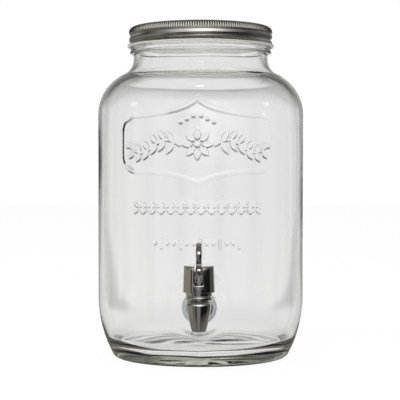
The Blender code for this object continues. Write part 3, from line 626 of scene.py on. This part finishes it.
lid_low, lid_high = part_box("lid_shell")
LID_TOP, LID_EDGE = lid_high.z / MM, lid_low.z / MM
SHEET = 0.4
LID_R = (lid_high.x - lid_low.x) / 2 / MM - SHEET
LID_ROUND, GRIP_H = 4.0, 1.2
BAND_TOP, BAND_FOOT, SKIRT_R = LID_TOP - LID_ROUND, LID_TOP - LID_ROUND - GRIP_H, LID_R - 0.1
PANEL_EDGE, PANEL_SUNK, RIDGE_R, RIDGE_H = 42.5, 0.8, 36.0, 0.45
KNURLS, KNURL_DEPTH, POINTS_A_KNURL = 188, 0.6, 8
LID_THREAD_Z, ROLL_DEPTH, ROLL_HALF, ROLL_SWELL = 244.9, 1.2, 0.95, 0.1
CURL_R, CURL_OUT, CURL_DROP = 1.15, 0.15, 2.2

lid_columns = KNURLS * POINTS_A_KNURL
wide = list(range(0, lid_columns, 2 * POINTS_A_KNURL))


def lid_ring(radius, z, knurl=0.0, rolled=0.0):
    """One ring of the lid. Knurl and rolled say how much of each pressing it takes, from 0 to 1."""
    columns = list(range(lid_columns)) if knurl else wide
    turn_by = np.array(columns) * math.tau / lid_columns
    radius = radius - knurl * KNURL_DEPTH * np.sin(turn_by * KNURLS / 2) ** 2
    if rolled:
        swell = np.cos(math.tau * ((z - LID_THREAD_Z) / THREAD_LEAD - turn_by / math.tau))
        radius = radius - rolled * ROLL_SWELL * (0.5 + 0.5 * swell)
        for back in (0, 1):
            at = np.degrees(turn_by - back * math.tau)
            fade = smoothstep(-150.0, -110.0, at) * smoothstep(330.0, 250.0, at)
            away = (z - LID_THREAD_Z - THREAD_LEAD * at / 360.0) / ROLL_HALF
            radius = radius - rolled * ROLL_DEPTH * fade * np.exp(-away ** 2)
    return columns, np.stack([radius * np.sin(turn_by), AXIS_Y - radius * np.cos(turn_by),
                              np.full(len(columns), z)], 1)


def lid_face(lower):
    """Rings over one face of the sheet, from its middle to its edge. The inner face lies lower."""
    sunk, outer = LID_TOP - PANEL_SUNK - lower, 0.0 if lower else 1.0
    rows = [([0], np.array([(0.0, AXIS_Y, sunk)]))]
    flats = [(r, sunk) for r in (9.0, 18.0, 27.0, 33.0)]
    flats += [(RIDGE_R + 1.4 * i, sunk + RIDGE_H * math.sin(math.pi * i / 3)) for i in range(4)]
    flats += [(PANEL_EDGE + 0.4 * i, LID_TOP - lower - PANEL_SUNK * (0.5 + 0.5 * math.cos(math.pi * i / 4)))
              for i in range(5)]
    rows += [lid_ring(r, z) for r, z in flats + [(46.5, LID_TOP - lower), (49.5, LID_TOP - lower)]]
    knurl_starts = (0.0, 0.0, 0.0, 0.3, 0.8) + (1.0,) * 6
    shoulder = arc((LID_R - LID_ROUND, BAND_TOP), LID_ROUND - lower, 90, 0, 10)
    rows += [lid_ring(r, z, outer * knurl) for (r, z), knurl in zip(shoulder, knurl_starts)]
    rows += [lid_ring(LID_R - lower, z, outer * knurl) for z, knurl in
             ((BAND_TOP - 0.5, 1.0), (BAND_FOOT + 0.5, 1.0), (BAND_FOOT + 0.15, 0.7))]
    groove = [(0.5, -0.1), (0.75, -0.35), (0.85, -0.6), (0.7, -0.9), (0.35, -1.15), (0.1, -1.35)]
    rows += [lid_ring(SKIRT_R - lower - depth, BAND_FOOT + z, 0.0, 1.0) for depth, z in groove]
    down = np.arange(BAND_FOOT - 1.6, LID_EDGE + 0.2, -0.25)
    return rows + [lid_ring(SKIRT_R - lower, z, 0.0, 1.0) for z in down]


curl_middle = (SKIRT_R + CURL_OUT, LID_EDGE - CURL_DROP)
curl = [lid_ring(r, z) for r, z in
        arc(curl_middle, CURL_R, 95, -180, 18) + [(SKIRT_R - SHEET, LID_EDGE - 0.9)]]

# Bright tinplate with a satin face: rolling lines 0.2 mm apart, drawn far coarser than the real ones so
# that they show, soft broad reflections, and painted shade over the ribbed band, darkest in its valleys.
tinplate, add, place = new_material("satin_tinplate")
LINES = (repeats(16.67), repeats(16.67), repeats(0.2))
lines = add("Mapping", {"Vector": place, "Scale": LINES})
grain = add("TexNoise", {"Vector": lines, "Scale": 1.0, "Detail": 4.0})
cloud = add("TexNoise", {"Vector": place, "Scale": repeats(14.29), "Detail": 4.0})
tone = add("ValToRGB", {"Fac": cloud}, [(0.25, "B4B2AD"), (0.75, "C6C5C1")])
axes = add("SeparateXYZ", {"Vector": place}).outputs
from_axis = add("Math", {0: axes["Y"], 1: AXIS_Y * MM}, operation="SUBTRACT")
ahead = add("Math", {0: from_axis, 1: -1.0}, operation="MULTIPLY")
round_lid = add("Math", {0: axes["X"], 1: ahead}, operation="ARCTAN2")
# painted shade: the knurled band is mixed towards a dark brown-grey, most in the valleys between its ribs
ribs = add("Math", {0: round_lid, 1: float(KNURLS)}, operation="MULTIPLY")
valley = add("Math", {0: ribs}, operation="COSINE")
low_end, high_end = [add("MapRange", {"Value": axes["Z"], "From Min": unshaded_z * MM, "From Max": shaded_z * MM})
                     for unshaded_z, shaded_z in ((BAND_FOOT + 0.1, BAND_FOOT + 0.5), (LID_TOP - 0.5, LID_TOP - 1.1))]
on_band = add("Math", {0: low_end, 1: high_end}, operation="MULTIPLY")
rib_shade = add("MapRange", {"Value": valley, "From Min": 1.0, "From Max": -0.6, "To Min": 0.6, "To Max": 0.98})
painted_band_shade = add("Math", {0: rib_shade, 1: on_band}, operation="MULTIPLY")
band_shaded_tone = add("Mix", {"Factor": painted_band_shade, "A": tone, "B": linear("34322E")}, data_type="RGBA")
sheen = add("MapRange", {"Value": grain, "From Min": 0.3, "From Max": 0.7, "To Min": 0.16, "To Max": 0.28})
relief = add("Bump", {"Height": grain, "Strength": 0.15, "Distance": 0.05 * MM})
body = add("BsdfPrincipled", {"Base Color": band_shaded_tone, "Metallic": 1.0, "Roughness": sheen, "Normal": relief})
add("OutputMaterial", {"Surface": body})

# White lacquer on the inner face, satin, with an orange peel of about 1 mm. What the glass sees of it
# has a faint painted glow, which keeps the neck of the jar light.
lacquer, add, place = new_material("white_lacquer")
orange_peel = add("TexNoise", {"Vector": place, "Scale": repeats(1.111), "Detail": 1.0})
tone = add("ValToRGB", {"Fac": orange_peel}, [(0.3, "DDDCD6"), (0.7, "E4E3DD")])
relief = add("Bump", {"Height": orange_peel, "Strength": 0.1, "Distance": 0.05 * MM})
path = add("LightPath").outputs
painted_glow_for_glass = add("Math", {0: path["Is Transmission Ray"], 1: 0.35}, operation="MULTIPLY")
body = add("BsdfPrincipled", {"Base Color": tone, "Roughness": 0.35, "Normal": relief,
                              "Emission Color": WHITE, "Emission Strength": painted_glow_for_glass})
add("OutputMaterial", {"Surface": body})

lid = add_piece("tin_lid", lid_face(0.0) + curl + lid_face(SHEET)[::-1], tinplate, 50.0)
lid.data.materials.append(lacquer)
for face in lid.data.polygons:
    middle = face.center / MM
    out = Vector((middle.x, middle.y - AXIS_Y, 0.0))
    facing = face.normal.z if out.length < LID_R - LID_ROUND else face.normal.dot(out)
    face.material_index = 1 if facing < -0.02 or middle.z < curl_middle[1] + 0.1 else 0
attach(lid, "lid")
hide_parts("lid_shell")


# ---------------------------------------------------------------- sealing ring
# Off-white ring of plastisol, flowed into the lid and cured there. The jar's lip presses a track into
# it and seals.

def rounded(outline, radius, steps=3):
    """A closed outline with each of its corners rounded."""
    result = []
    for i, corner in enumerate(outline):
        here = Vector(corner)
        before, after = Vector(outline[i - 1]) - here, Vector(outline[(i + 1) % len(outline)]) - here
        cut = min(radius, before.length * 0.45, after.length * 0.45)
        start, end = here + before.normalized() * cut, here + after.normalized() * cut
        for k in range(steps + 1):
            t = k / steps
            result.append(tuple(start * (1 - t) ** 2 + here * 2 * t * (1 - t) + end * t * t))
    return result


liner_low, liner_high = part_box("lid_liner")
ring_in, ring_out = bore_r - 1.8, (liner_high.x - liner_low.x) / 2 / MM
ring_z, ring_top = liner_low.z / MM, liner_high.z / MM
track_z = ring_z + 0.18
track = [(ring_in, ring_z + 0.3), (ring_in + 1.2, ring_z), (bore_r + 0.6, ring_z), (bore_r + 1.4, track_z),
         (FINISH_R - 1.2, track_z), (FINISH_R - 0.3, ring_z), (ring_out, ring_z + 0.1), (ring_out, ring_top),
         (ring_in, ring_top)]

# Cured plastisol: off-white and dull, with flow marks about 4 mm long.
plastisol, add, place = new_material("cured_plastisol")
flow = add("TexNoise", {"Vector": place, "Scale": repeats(3.846), "Detail": 3.0})
tone = add("ValToRGB", {"Fac": flow}, [(0.3, "DAD9D2"), (0.7, "E6E5DF")])
flow_marks = add("Bump", {"Height": flow, "Strength": 0.3, "Distance": 0.1 * MM})
body = add("BsdfPrincipled", {"Base Color": tone, "Roughness": 0.55, "Normal": flow_marks})
add("OutputMaterial", {"Surface": body})

seal = add_piece("lid_seal_ring", turned(rounded(track, 0.3), 160), plastisol, closed=True,
                 where=Matrix.Translation((0, AXIS_Y * MM, 0)))
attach(seal, "lid_seal")
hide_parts("lid_liner")


# ---------------------------------------------------------------- gaskets
# Two clear silicone rings, moulded, one on each face of the glass, squeezed by the tap's flange in
# front and by the nut behind.

# Clear silicone: slightly milky, with a haze of about 1 mm in its gloss and colour, so that it reads as
# soft beside the glass. Lamps shine through it.
silicone, add, place = new_material("clear_silicone")
haze = add("TexNoise", {"Vector": place, "Scale": repeats(1.111), "Detail": 2.0})
soft = add("MapRange", {"Value": haze, "To Min": 0.04, "To Max": 0.12})
tone = add("ValToRGB", {"Fac": haze}, [(0.3, "EDEEEE"), (0.7, "F6F7F7")])
body = add("BsdfPrincipled", {"Base Color": tone, "Roughness": soft, "IOR": 1.41,
                              "Transmission Weight": 0.94})
path = add("LightPath").outputs
clear = add("BsdfTransparent", {"Color": linear("EEEFEF")})
lamp_side = add("MixShader", {0: path["Is Shadow Ray"], 1: body, 2: clear})
add("OutputMaterial", {"Surface": lamp_side})


def extent(node):
    """Outer radius of a round node on the tap's shank, and how far its ends are from the jar's axis."""
    low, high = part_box(node)
    return (high.x - low.x) / 2 / MM, AXIS_Y - high.y / MM, AXIS_Y - low.y / MM


for name, node in (("front_gasket", "outer_gasket"), ("back_gasket", "inner_gasket")):
    outer_r, near, far = extent(node)
    ring = rounded([(HOLE_R, near), (outer_r, near), (outer_r, far), (HOLE_R, far)], 0.8, 5)
    gasket = add_piece(name, turned(ring, 120), silicone, where=level, closed=True)
    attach(gasket, "jar")
    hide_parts(node)


# ---------------------------------------------------------------- slip washer and nut
# Inside the jar, a nylon washer lets the nut turn without dragging the gasket, and a six-sided
# nylon nut on the shank's thread clamps the tap in its hole.

# Natural nylon: milky white, satin, with the faint mottling of a mould, 2.4 mm across.
nylon, add, place = new_material("moulded_nylon")
mottle = add("TexNoise", {"Vector": place, "Scale": repeats(2.381), "Detail": 4.0})
tone = add("ValToRGB", {"Fac": mottle}, [(0.3, "E3E3DF"), (0.7, "EDEDEA")])
grain = add("Bump", {"Height": mottle, "Strength": 0.2, "Distance": 0.08 * MM})
path = add("LightPath").outputs
# painted glow: what the glass sees of the nylon shines a little by itself
painted_glow_through_glass = add("Math", {0: path["Is Transmission Ray"], 1: 0.28}, operation="MULTIPLY")
body = add("BsdfPrincipled", {"Base Color": tone, "Roughness": 0.42, "Normal": grain,
                              "Emission Color": WHITE, "Emission Strength": painted_glow_through_glass,
                              "Subsurface Weight": 0.25, "Subsurface Scale": 2.0 * MM})
add("OutputMaterial", {"Surface": body})

washer_r, near, far = extent("slip_washer")
washer = rounded([(HOLE_R, near), (washer_r, near), (washer_r, far), (HOLE_R, far)], 0.25)
slip = add_piece("nylon_washer", turned(washer, 120), nylon, where=level, closed=True)
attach(slip, "jar")
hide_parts("slip_washer")

SHANK_LEAD, NUT_SIDES, CHAMFER = 1.8, 144, 1.3
nut_low, nut_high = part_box("shank_nut")
nut_near, nut_far = extent("shank_nut")[1:]
flat_r = (nut_high.z - nut_low.z) / 2 / MM
corner_r = flat_r / math.cos(math.pi / 6)


def nut_ring(along, chamfer=None):
    """One ring of the nut: its threaded bore, or its six sides drawn in by a chamfer."""
    turn_by = np.arange(NUT_SIDES) * math.tau / NUT_SIDES
    if chamfer is None:
        radius = HOLE_R + 0.25 * np.sin(math.tau * along / SHANK_LEAD - turn_by)
    else:
        from_flat = (turn_by + math.pi / 6) % (math.pi / 3) - math.pi / 6
        radius = np.minimum(flat_r / np.cos(from_flat), corner_r - 0.25 - chamfer)
    return (range(NUT_SIDES),
            np.stack([radius * np.cos(turn_by), radius * np.sin(turn_by), np.full(NUT_SIDES, along)], 1))


chamfers = ((0.0, CHAMFER), (0.35, 0.7), (0.9, 0.0))
sides = [nut_ring(nut_near + in_by, chamfer) for in_by, chamfer in chamfers]
sides += [nut_ring(nut_far - in_by, chamfer) for in_by, chamfer in reversed(chamfers)]
thread = [nut_ring(along) for along in np.linspace(nut_far, nut_near, 28)]
nut = add_piece("nylon_nut", sides + thread, nylon, 30.0, where=level, closed=True)
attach(nut, "jar")
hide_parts("shank_nut")


# ---------------------------------------------------------------- tap body
# The tap's body is moulded in ABS in one piece, shank, flange and teardrop spout together, and
# chrome plated all over. The shank passes through the glass and takes the nut.

TAP_Y = (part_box("tap_stem")[0].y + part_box("tap_stem")[1].y) / 2 / MM
body_low, body_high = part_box("tap_body")
TIP_Z, TIP_R, TIP_BORE, TIP_EASE = body_low.z / MM, 4.95, 3.9, 0.3
WIDE_Z, WIDE_R, WIDE_ROUND, CONE_CURVE = TAP_Z + 4.0, 8.75, 4.0, 1.35
NECK_Z, NECK_IN = TAP_Z + 7.9, 3.15
COLLAR_TOP, COLLAR_R, GROOVE_IN = body_high.z / MM, 9.4, 0.75
SEAT_Z, SEAT_R, SEAT_RISE, CHAMBER_R = TAP_Z - 4.6, 4.0, 1.8, 6.0
FLANGE_NEAR, FLANGE_T, FLANGE_R, FLANGE_ROUND = PAD_FACE + 2.6, 2.0, HOLE_R + 1.8, 0.9
BARREL_R, BARREL_FILLET, BARREL_END = 7.6, 0.7, AXIS_Y - TAP_Y
SHANK_END, SHANK_BORE, shank_r = AXIS_Y - body_high.y / MM, 3.5, HOLE_R - 0.3
upright = Matrix.Translation((0, TAP_Y * MM, 0))

spout = [(0.0, TIP_Z), (TIP_R - TIP_EASE, TIP_Z), (TIP_R, TIP_Z + TIP_EASE)]
spout += [(WIDE_R - (WIDE_R - TIP_R) * (1 - i / 24) ** CONE_CURVE, TIP_Z + (WIDE_Z - TIP_Z) * i / 24)
          for i in range(1, 24)]
spout += arc((WIDE_R - WIDE_ROUND, WIDE_Z), WIDE_ROUND, 0, 66, 12)
spout += rounded([(WIDE_R - NECK_IN, NECK_Z - 0.15), (WIDE_R - NECK_IN, NECK_Z - 0.05),
                  (COLLAR_R - 0.1, NECK_Z), (COLLAR_R - 0.1, NECK_Z + 2.1),
                  (COLLAR_R - GROOVE_IN, NECK_Z + 2.3), (COLLAR_R - GROOVE_IN, NECK_Z + 2.9),
                  (COLLAR_R, NECK_Z + 3.1), (COLLAR_R, COLLAR_TOP)], 0.35)[4:-4]
spout += [(COLLAR_R, COLLAR_TOP), (0.0, COLLAR_TOP)]
flange_face = FLANGE_NEAR + FLANGE_T
shank = [(0.0, SHANK_END), (shank_r - 0.6, SHANK_END), (shank_r, SHANK_END + 0.6),
         (shank_r - 0.05, SHANK_END + 0.65), (shank_r, FLANGE_NEAR - 0.2), (shank_r, FLANGE_NEAR),
         (FLANGE_R - 0.4, FLANGE_NEAR), (FLANGE_R, FLANGE_NEAR + 0.4)]
shank += arc((FLANGE_R - FLANGE_ROUND, flange_face - FLANGE_ROUND), FLANGE_ROUND, 0, 90, 6)
shank += arc((BARREL_R + BARREL_FILLET, flange_face + BARREL_FILLET), BARREL_FILLET, 270, 180, 4)
shank += [(BARREL_R, BARREL_END), (0.0, BARREL_END)]

# Bright chrome on ABS: a dark mirror with faint moulding waves of 4.5 mm and finger marks of 8 mm.
chrome, add, place = new_material("chrome_plated_abs")
waves = add("TexNoise", {"Vector": place, "Scale": repeats(4.545), "Detail": 2.0})
smears = add("TexNoise", {"Vector": place, "Scale": repeats(8.333), "Detail": 5.0})
gloss = add("MapRange", {"Value": smears, "From Min": 0.35, "From Max": 0.75, "To Min": 0.035,
                         "To Max": 0.11})
tone = add("ValToRGB", {"Fac": smears}, [(0.3, "C9C8C6"), (0.75, "BFBEBB")])
peel = add("Bump", {"Height": waves, "Strength": 0.12, "Distance": 0.1 * MM})
body = add("BsdfPrincipled", {"Base Color": tone, "Metallic": 1.0, "Roughness": gloss, "Normal": peel})
add("OutputMaterial", {"Surface": body})

tap = add_piece("tap_spout", turned(spout, 120), chrome, 35.0, where=upright)
combine(tap, "UNION", add_piece("shank_form", turned(shank, 120), chrome, where=level))
core = [(0.0, TIP_Z - 1), (TIP_BORE, TIP_Z - 1), (TIP_BORE, SEAT_Z - 0.1), (SEAT_R, SEAT_Z),
        (CHAMBER_R, SEAT_Z + SEAT_RISE), (CHAMBER_R, COLLAR_TOP + 1), (0.0, COLLAR_TOP + 1)]
combine(tap, "DIFFERENCE", add_piece("chamber", turned(core, 96), chrome, where=upright))
bore = [(0.0, SHANK_END - 1), (SHANK_BORE, SHANK_END - 1), (SHANK_BORE, BARREL_END), (0.0, BARREL_END)]
combine(tap, "DIFFERENCE", add_piece("shank_bore", turned(bore, 96), chrome, where=level))
tap.data.set_sharp_from_angle(angle=math.radians(35))
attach(tap, "jar")
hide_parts("tap_body")
lit_by_key.objects.link(tap)


# ---------------------------------------------------------------- bonnet
# Chrome-plated cap screwed down on the body's collar. It holds the seat cup's flange, its deck is
# what the lever's foot bears on, and the lever works in the slot in its front.

bonnet_low, bonnet_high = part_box("tap_bonnet")
BONNET_TOP, BONNET_Z = bonnet_high.z / MM, TAP_Z + 13.3
BONNET_R, BONNET_TAPER = (bonnet_high.x - bonnet_low.x) / 2 / MM, 0.6
FOOT_ROUND, TOP_ROUND, MOUTH_R = 0.35, 1.0, 6.5
DECK_Z, DECK_T, SOCKET_R = COLLAR_TOP + 3.0, 1.4, COLLAR_R + 0.3
GUIDE_BORE, GUIDE_R, GUIDE_H = 2.8, 3.9, 4.5
SLOT_HALF, SLOT_BACK = 3.15, 5.6
under_deck = DECK_Z - DECK_T
side_low, side_high = BONNET_Z + FOOT_ROUND, BONNET_TOP - TOP_ROUND

cap = [(GUIDE_BORE, under_deck - GUIDE_H), (GUIDE_R, under_deck - GUIDE_H), (GUIDE_R, under_deck),
       (SOCKET_R, under_deck), (SOCKET_R, BONNET_Z)]
cap += arc((BONNET_R - FOOT_ROUND, side_low), FOOT_ROUND, -90, 0, 4)
cap += [(BONNET_R - BONNET_TAPER * i / 8, side_low + (side_high - side_low) * i / 8) for i in range(1, 8)]
cap += arc((BONNET_R - BONNET_TAPER - TOP_ROUND, side_high), TOP_ROUND, 0, 90, 7)
cap += [(MOUTH_R, BONNET_TOP), (GUIDE_BORE, BONNET_TOP)]
bonnet = add_piece("tap_cap", turned(cap, 120), chrome, 35.0, where=upright, closed=True)


def block(low, high):
    """A block between two corners, for cutting."""
    corners = [(x, y, z) for x in (low[0], high[0]) for y in (low[1], high[1]) for z in (low[2], high[2])]
    mesh = bpy.data.meshes.new("block")
    mesh.from_pydata([Vector(c) * MM for c in corners], [],
                     [(0, 1, 3, 2), (4, 6, 7, 5), (0, 4, 5, 1), (2, 3, 7, 6), (0, 2, 6, 4), (1, 5, 7, 3)])
    return mesh


def ease_edges(piece, width, segments, limit_deg):
    """Rounds the edges that are sharper than a limit."""
    ease = piece.modifiers.new("edges", "BEVEL")
    ease.width, ease.segments = width * MM, segments
    ease.limit_method, ease.angle_limit = "ANGLE", math.radians(limit_deg)
    set_in_mesh(piece)


slot = block((-SLOT_HALF, TAP_Y - 20.0, DECK_Z), (SLOT_HALF, TAP_Y + SLOT_BACK, BONNET_TOP + 2))
combine(bonnet, "DIFFERENCE", add_piece("lever_slot", slot, chrome))
ease_edges(bonnet, 0.28, 2, 50)
smooth(bonnet.data, 35)
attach(bonnet, "jar")
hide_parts("tap_bonnet")
lit_by_key.objects.link(bonnet)


# ---------------------------------------------------------------- lever
# Chrome-plated ring lever. Its forked foot straddles the stem's tongue on the pin, and its cam
# bears on the deck: pulled forward, it lifts the stem.

PIN_Z = (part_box("lever_pin")[0].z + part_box("lever_pin")[1].z) / 2 / MM
LIFT, TILT = 3.5, math.radians(80.0)
CAM_BASE, CAM_RATE = 5.0, LIFT / TILT
RING_R, RING_BAR, LEVER_H, LEVER_T, FORK_W = 8.0, 3.0, 24.3, 4.1, 5.7
TONGUE_T, TONGUE_HALF, PLAY, PIN_HOLE_R = 2.4, 2.2, 0.3, 1.3
RING_Z = LEVER_H - RING_R
WAIST, WAIST_Z, FOOT_Z = RING_R * 0.40, RING_Z - RING_R, -CAM_BASE - 4
at_pin = Matrix.Translation((0, TAP_Y * MM, PIN_Z * MM))
across = Matrix.Rotation(math.radians(90), 4, "Y")


def plate(outline, half, across="X"):
    """A flat outline given a thickness about its plane. Points are (Y, Z), or (X, Z)."""
    n = len(outline)
    points = [(side * half, a, b) if across == "X" else (a, side * half, b)
              for side in (-1, 1) for a, b in outline]
    mesh = bpy.data.meshes.new("plate")
    mesh.from_pydata([Vector(p) * MM for p in points], [],
                     [tuple(range(n)), tuple(range(2 * n - 1, n - 1, -1))]
                     + [(k, (k + 1) % n, n + (k + 1) % n, n + k) for k in range(n)])
    return mesh


# seen from the side: round behind, an involute cam that rolls on the deck, and the waist under the ring
cam = arc((0.0, 0.0), CAM_BASE, 0, -90, 10)
for i in range(17):
    tilt = TILT * i / 16
    far_r = CAM_BASE + CAM_RATE * tilt
    cam.append((-far_r * math.sin(tilt) - CAM_RATE * math.cos(tilt),
                -far_r * math.cos(tilt) + CAM_RATE * math.sin(tilt)))
profile = cam + [(-WAIST * 1.9, WAIST_Z * 0.42), (-WAIST * 1.22, WAIST_Z * 0.75), (-WAIST, WAIST_Z),
                 (-WAIST * 0.8, WAIST_Z + 1.6), (WAIST * 0.8, WAIST_Z + 1.6), (WAIST, WAIST_Z),
                 (WAIST * 1.15, WAIST_Z * 0.6)]
# seen from the front: the fork's width, narrowing to the waist
front = [(FORK_W / 2, FOOT_Z), (FORK_W / 2, 3.0), (FORK_W / 2 - 0.3, 4.5), (LEVER_T / 2, WAIST_Z),
         (LEVER_T / 2, 40.0)]
front = [(-FORK_W / 2, FOOT_Z)] + front + [(-x, z) for x, z in reversed(front[1:])]
half_gap = TONGUE_T / 2 + PLAY
gap = [(-half_gap, FOOT_Z - 1), (half_gap, FOOT_Z - 1), (half_gap, TONGUE_HALF + 0.6), (0, TONGUE_HALF + 3.0),
       (-half_gap, TONGUE_HALF + 0.6)]
hole = [(0.0, -8.0), (PIN_HOLE_R, -8.0), (PIN_HOLE_R, 8.0), (0.0, 8.0)]
bar = [(RING_R - RING_BAR / 2 + RING_BAR / 2 * math.cos(a), LEVER_T / 2 * math.sin(a))
       for a in (math.tau * i / 24 for i in range(24))]

lever = add_piece("ring_lever", plate(profile, FORK_W / 2), chrome, where=at_pin)
combine(lever, "INTERSECT", add_piece("lever_sides", plate(front, 30.0, "Y"), chrome, where=at_pin))
combine(lever, "DIFFERENCE", add_piece("fork_gap", plate(gap, 30.0, "Y"), chrome, where=at_pin))
combine(lever, "DIFFERENCE", add_piece("hole", turned(hole, 60), chrome, where=at_pin @ across))
ease_edges(lever, 0.9, 4, 50)
combine(lever, "UNION", add_piece("ring", turned(bar, 96), chrome, closed=True,
                                  where=at_pin @ Matrix.Translation((0, 0, RING_Z * MM)) @ across))
smooth(lever.data, 45)
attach(lever, "lever")
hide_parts("tap_lever")
lit_by_key.objects.link(lever)


# ---------------------------------------------------------------- stem
# Round stem of acetal with a barb at its foot, which holds the seat cup, and a flat tongue at its
# top, which stands in the lever's fork. The bonnet's tube guides it.

BARB_Z, BARB_H, BARB_R, STEM_R = SEAT_Z + 4.1, 1.8, 3.4, 2.5
BARB_TOP, TONGUE_Z = BARB_Z + BARB_H, DECK_Z - 3.8
tongue_half = TONGUE_HALF - 0.01        # a hair inside the round stem, so that the two join cleanly

# Natural acetal: milky white, waxy, with fine wear marks along it, 1 mm by 7 mm.
acetal, add, place = new_material("natural_acetal")
WEAR = (repeats(1.111), repeats(1.111), repeats(7.143))
stretched = add("Mapping", {"Vector": place, "Scale": WEAR})
wear = add("TexNoise", {"Vector": stretched, "Scale": 1.0, "Detail": 3.0})
tone = add("ValToRGB", {"Fac": wear}, [(0.3, "D6D6D2"), (0.7, "E4E4E0")])
marks = add("Bump", {"Height": wear, "Strength": 0.15, "Distance": 0.05 * MM})
body = add("BsdfPrincipled", {"Base Color": tone, "Roughness": 0.36, "Normal": marks})
add("OutputMaterial", {"Surface": body})

rod = [(0.0, BARB_Z), (BARB_R - 0.7, BARB_Z), (BARB_R - 0.15, BARB_Z + 0.45), (BARB_R, BARB_Z + 0.8),
       (BARB_R, BARB_TOP), (STEM_R, BARB_TOP + 0.9), (STEM_R, TONGUE_Z - 0.25), (STEM_R - 0.25, TONGUE_Z),
       (0.0, TONGUE_Z)]
tongue = [(-tongue_half, TONGUE_Z - 1.0), (tongue_half, TONGUE_Z - 1.0)]
tongue += arc((0.0, PIN_Z), tongue_half, 0, 180, 24)
stem_piece = add_piece("acetal_stem", turned(rod, 96), acetal, where=upright)
combine(stem_piece, "UNION", add_piece("tongue", plate(tongue, TONGUE_T / 2), acetal, where=upright))
combine(stem_piece, "DIFFERENCE", add_piece("eye", turned(hole, 48), acetal, where=at_pin @ across))
ease_edges(stem_piece, 0.2, 2, 60)
smooth(stem_piece.data, 35)
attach(stem_piece, "plunger")
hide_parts("tap_stem")


# ---------------------------------------------------------------- seat cup
# Moulded silicone cup, pushed on the stem's barb: its plug shuts the outlet, its thin skirt folds as
# the stem rises, and its flange is held between the body and the bonnet.

CUP_Z, FLANGE_TOP, FLANGE_OUT = COLLAR_TOP + 0.3, COLLAR_TOP + 1.3, COLLAR_R - 0.5
PLUG_R, PLUG_TOP, SKIRT_FOOT = CHAMBER_R - 0.7, SEAT_Z + 9.6, SEAT_Z + 12.6
SKIRT_IN, SKIRT_OUT = GUIDE_R + 0.9, CHAMBER_R - 0.3
nose_z, nose_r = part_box("seat_cup")[0].z / MM + 0.9, SEAT_R - 0.6
plug_z = nose_z + (PLUG_R - nose_r) * SEAT_RISE / (CHAMBER_R - SEAT_R)
shell = [(0.0, nose_z - 0.9), (nose_r - 1.0, nose_z - 0.7), (nose_r, nose_z), (PLUG_R, plug_z),
         (PLUG_R, PLUG_TOP - 2.0), (SKIRT_IN, PLUG_TOP), (SKIRT_OUT, SKIRT_FOOT), (SKIRT_OUT, CUP_Z),
         (FLANGE_OUT, CUP_Z), (FLANGE_OUT, FLANGE_TOP), (SKIRT_IN, FLANGE_TOP), (SKIRT_IN, SKIRT_FOOT),
         (STEM_R + 0.9, PLUG_TOP), (STEM_R + PLAY, PLUG_TOP - 1.0), (STEM_R + PLAY, BARB_TOP + 1.2),
         (BARB_R + PLAY, BARB_TOP + PLAY), (BARB_R + PLAY, BARB_Z - PLAY), (0.0, BARB_Z - PLAY)]
shell = [shell[0]] + rounded(shell, 0.3)[4:-4] + [shell[-1]]
cup = add_piece("silicone_plug", turned(shell, 96), silicone, where=upright)
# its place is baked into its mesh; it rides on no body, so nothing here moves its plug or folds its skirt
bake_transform(cup)
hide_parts("seat_cup")


# ---------------------------------------------------------------- lever pin
# Short pin of stainless steel, ground, with eased ends. It is held in the two arms of the lever's fork,
# and the stem's tongue turns on it.

PIN_R, PIN_HALF = 1.0, FORK_W / 2

# Ground steel: bright, with grinding rings 0.11 mm apart, drawn coarser than the real ones.
steel, add, place = new_material("ground_stainless_steel")
RINGS = (repeats(0.1111), repeats(2.5), repeats(2.5))
drawn = add("Mapping", {"Vector": place, "Scale": RINGS})
grit = add("TexNoise", {"Vector": drawn, "Scale": 1.0, "Detail": 3.0})
tone = add("ValToRGB", {"Fac": grit}, [(0.3, "B9B8B5"), (0.7, "CBCAC7")])
gloss = add("MapRange", {"Value": grit, "To Min": 0.18, "To Max": 0.34})
body = add("BsdfPrincipled", {"Base Color": tone, "Metallic": 1.0, "Roughness": gloss})
add("OutputMaterial", {"Surface": body})

tip = [(PIN_R, PIN_HALF - 0.3), (PIN_R - 0.08, PIN_HALF - 0.1), (PIN_R - 0.3, PIN_HALF), (0.0, PIN_HALF)]
shaft = [(r, -along) for r, along in reversed(tip)] + tip
pin = add_piece("steel_pin", turned(shaft, 64), steel, where=at_pin @ across)
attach(pin, "lever")
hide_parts("lever_pin")
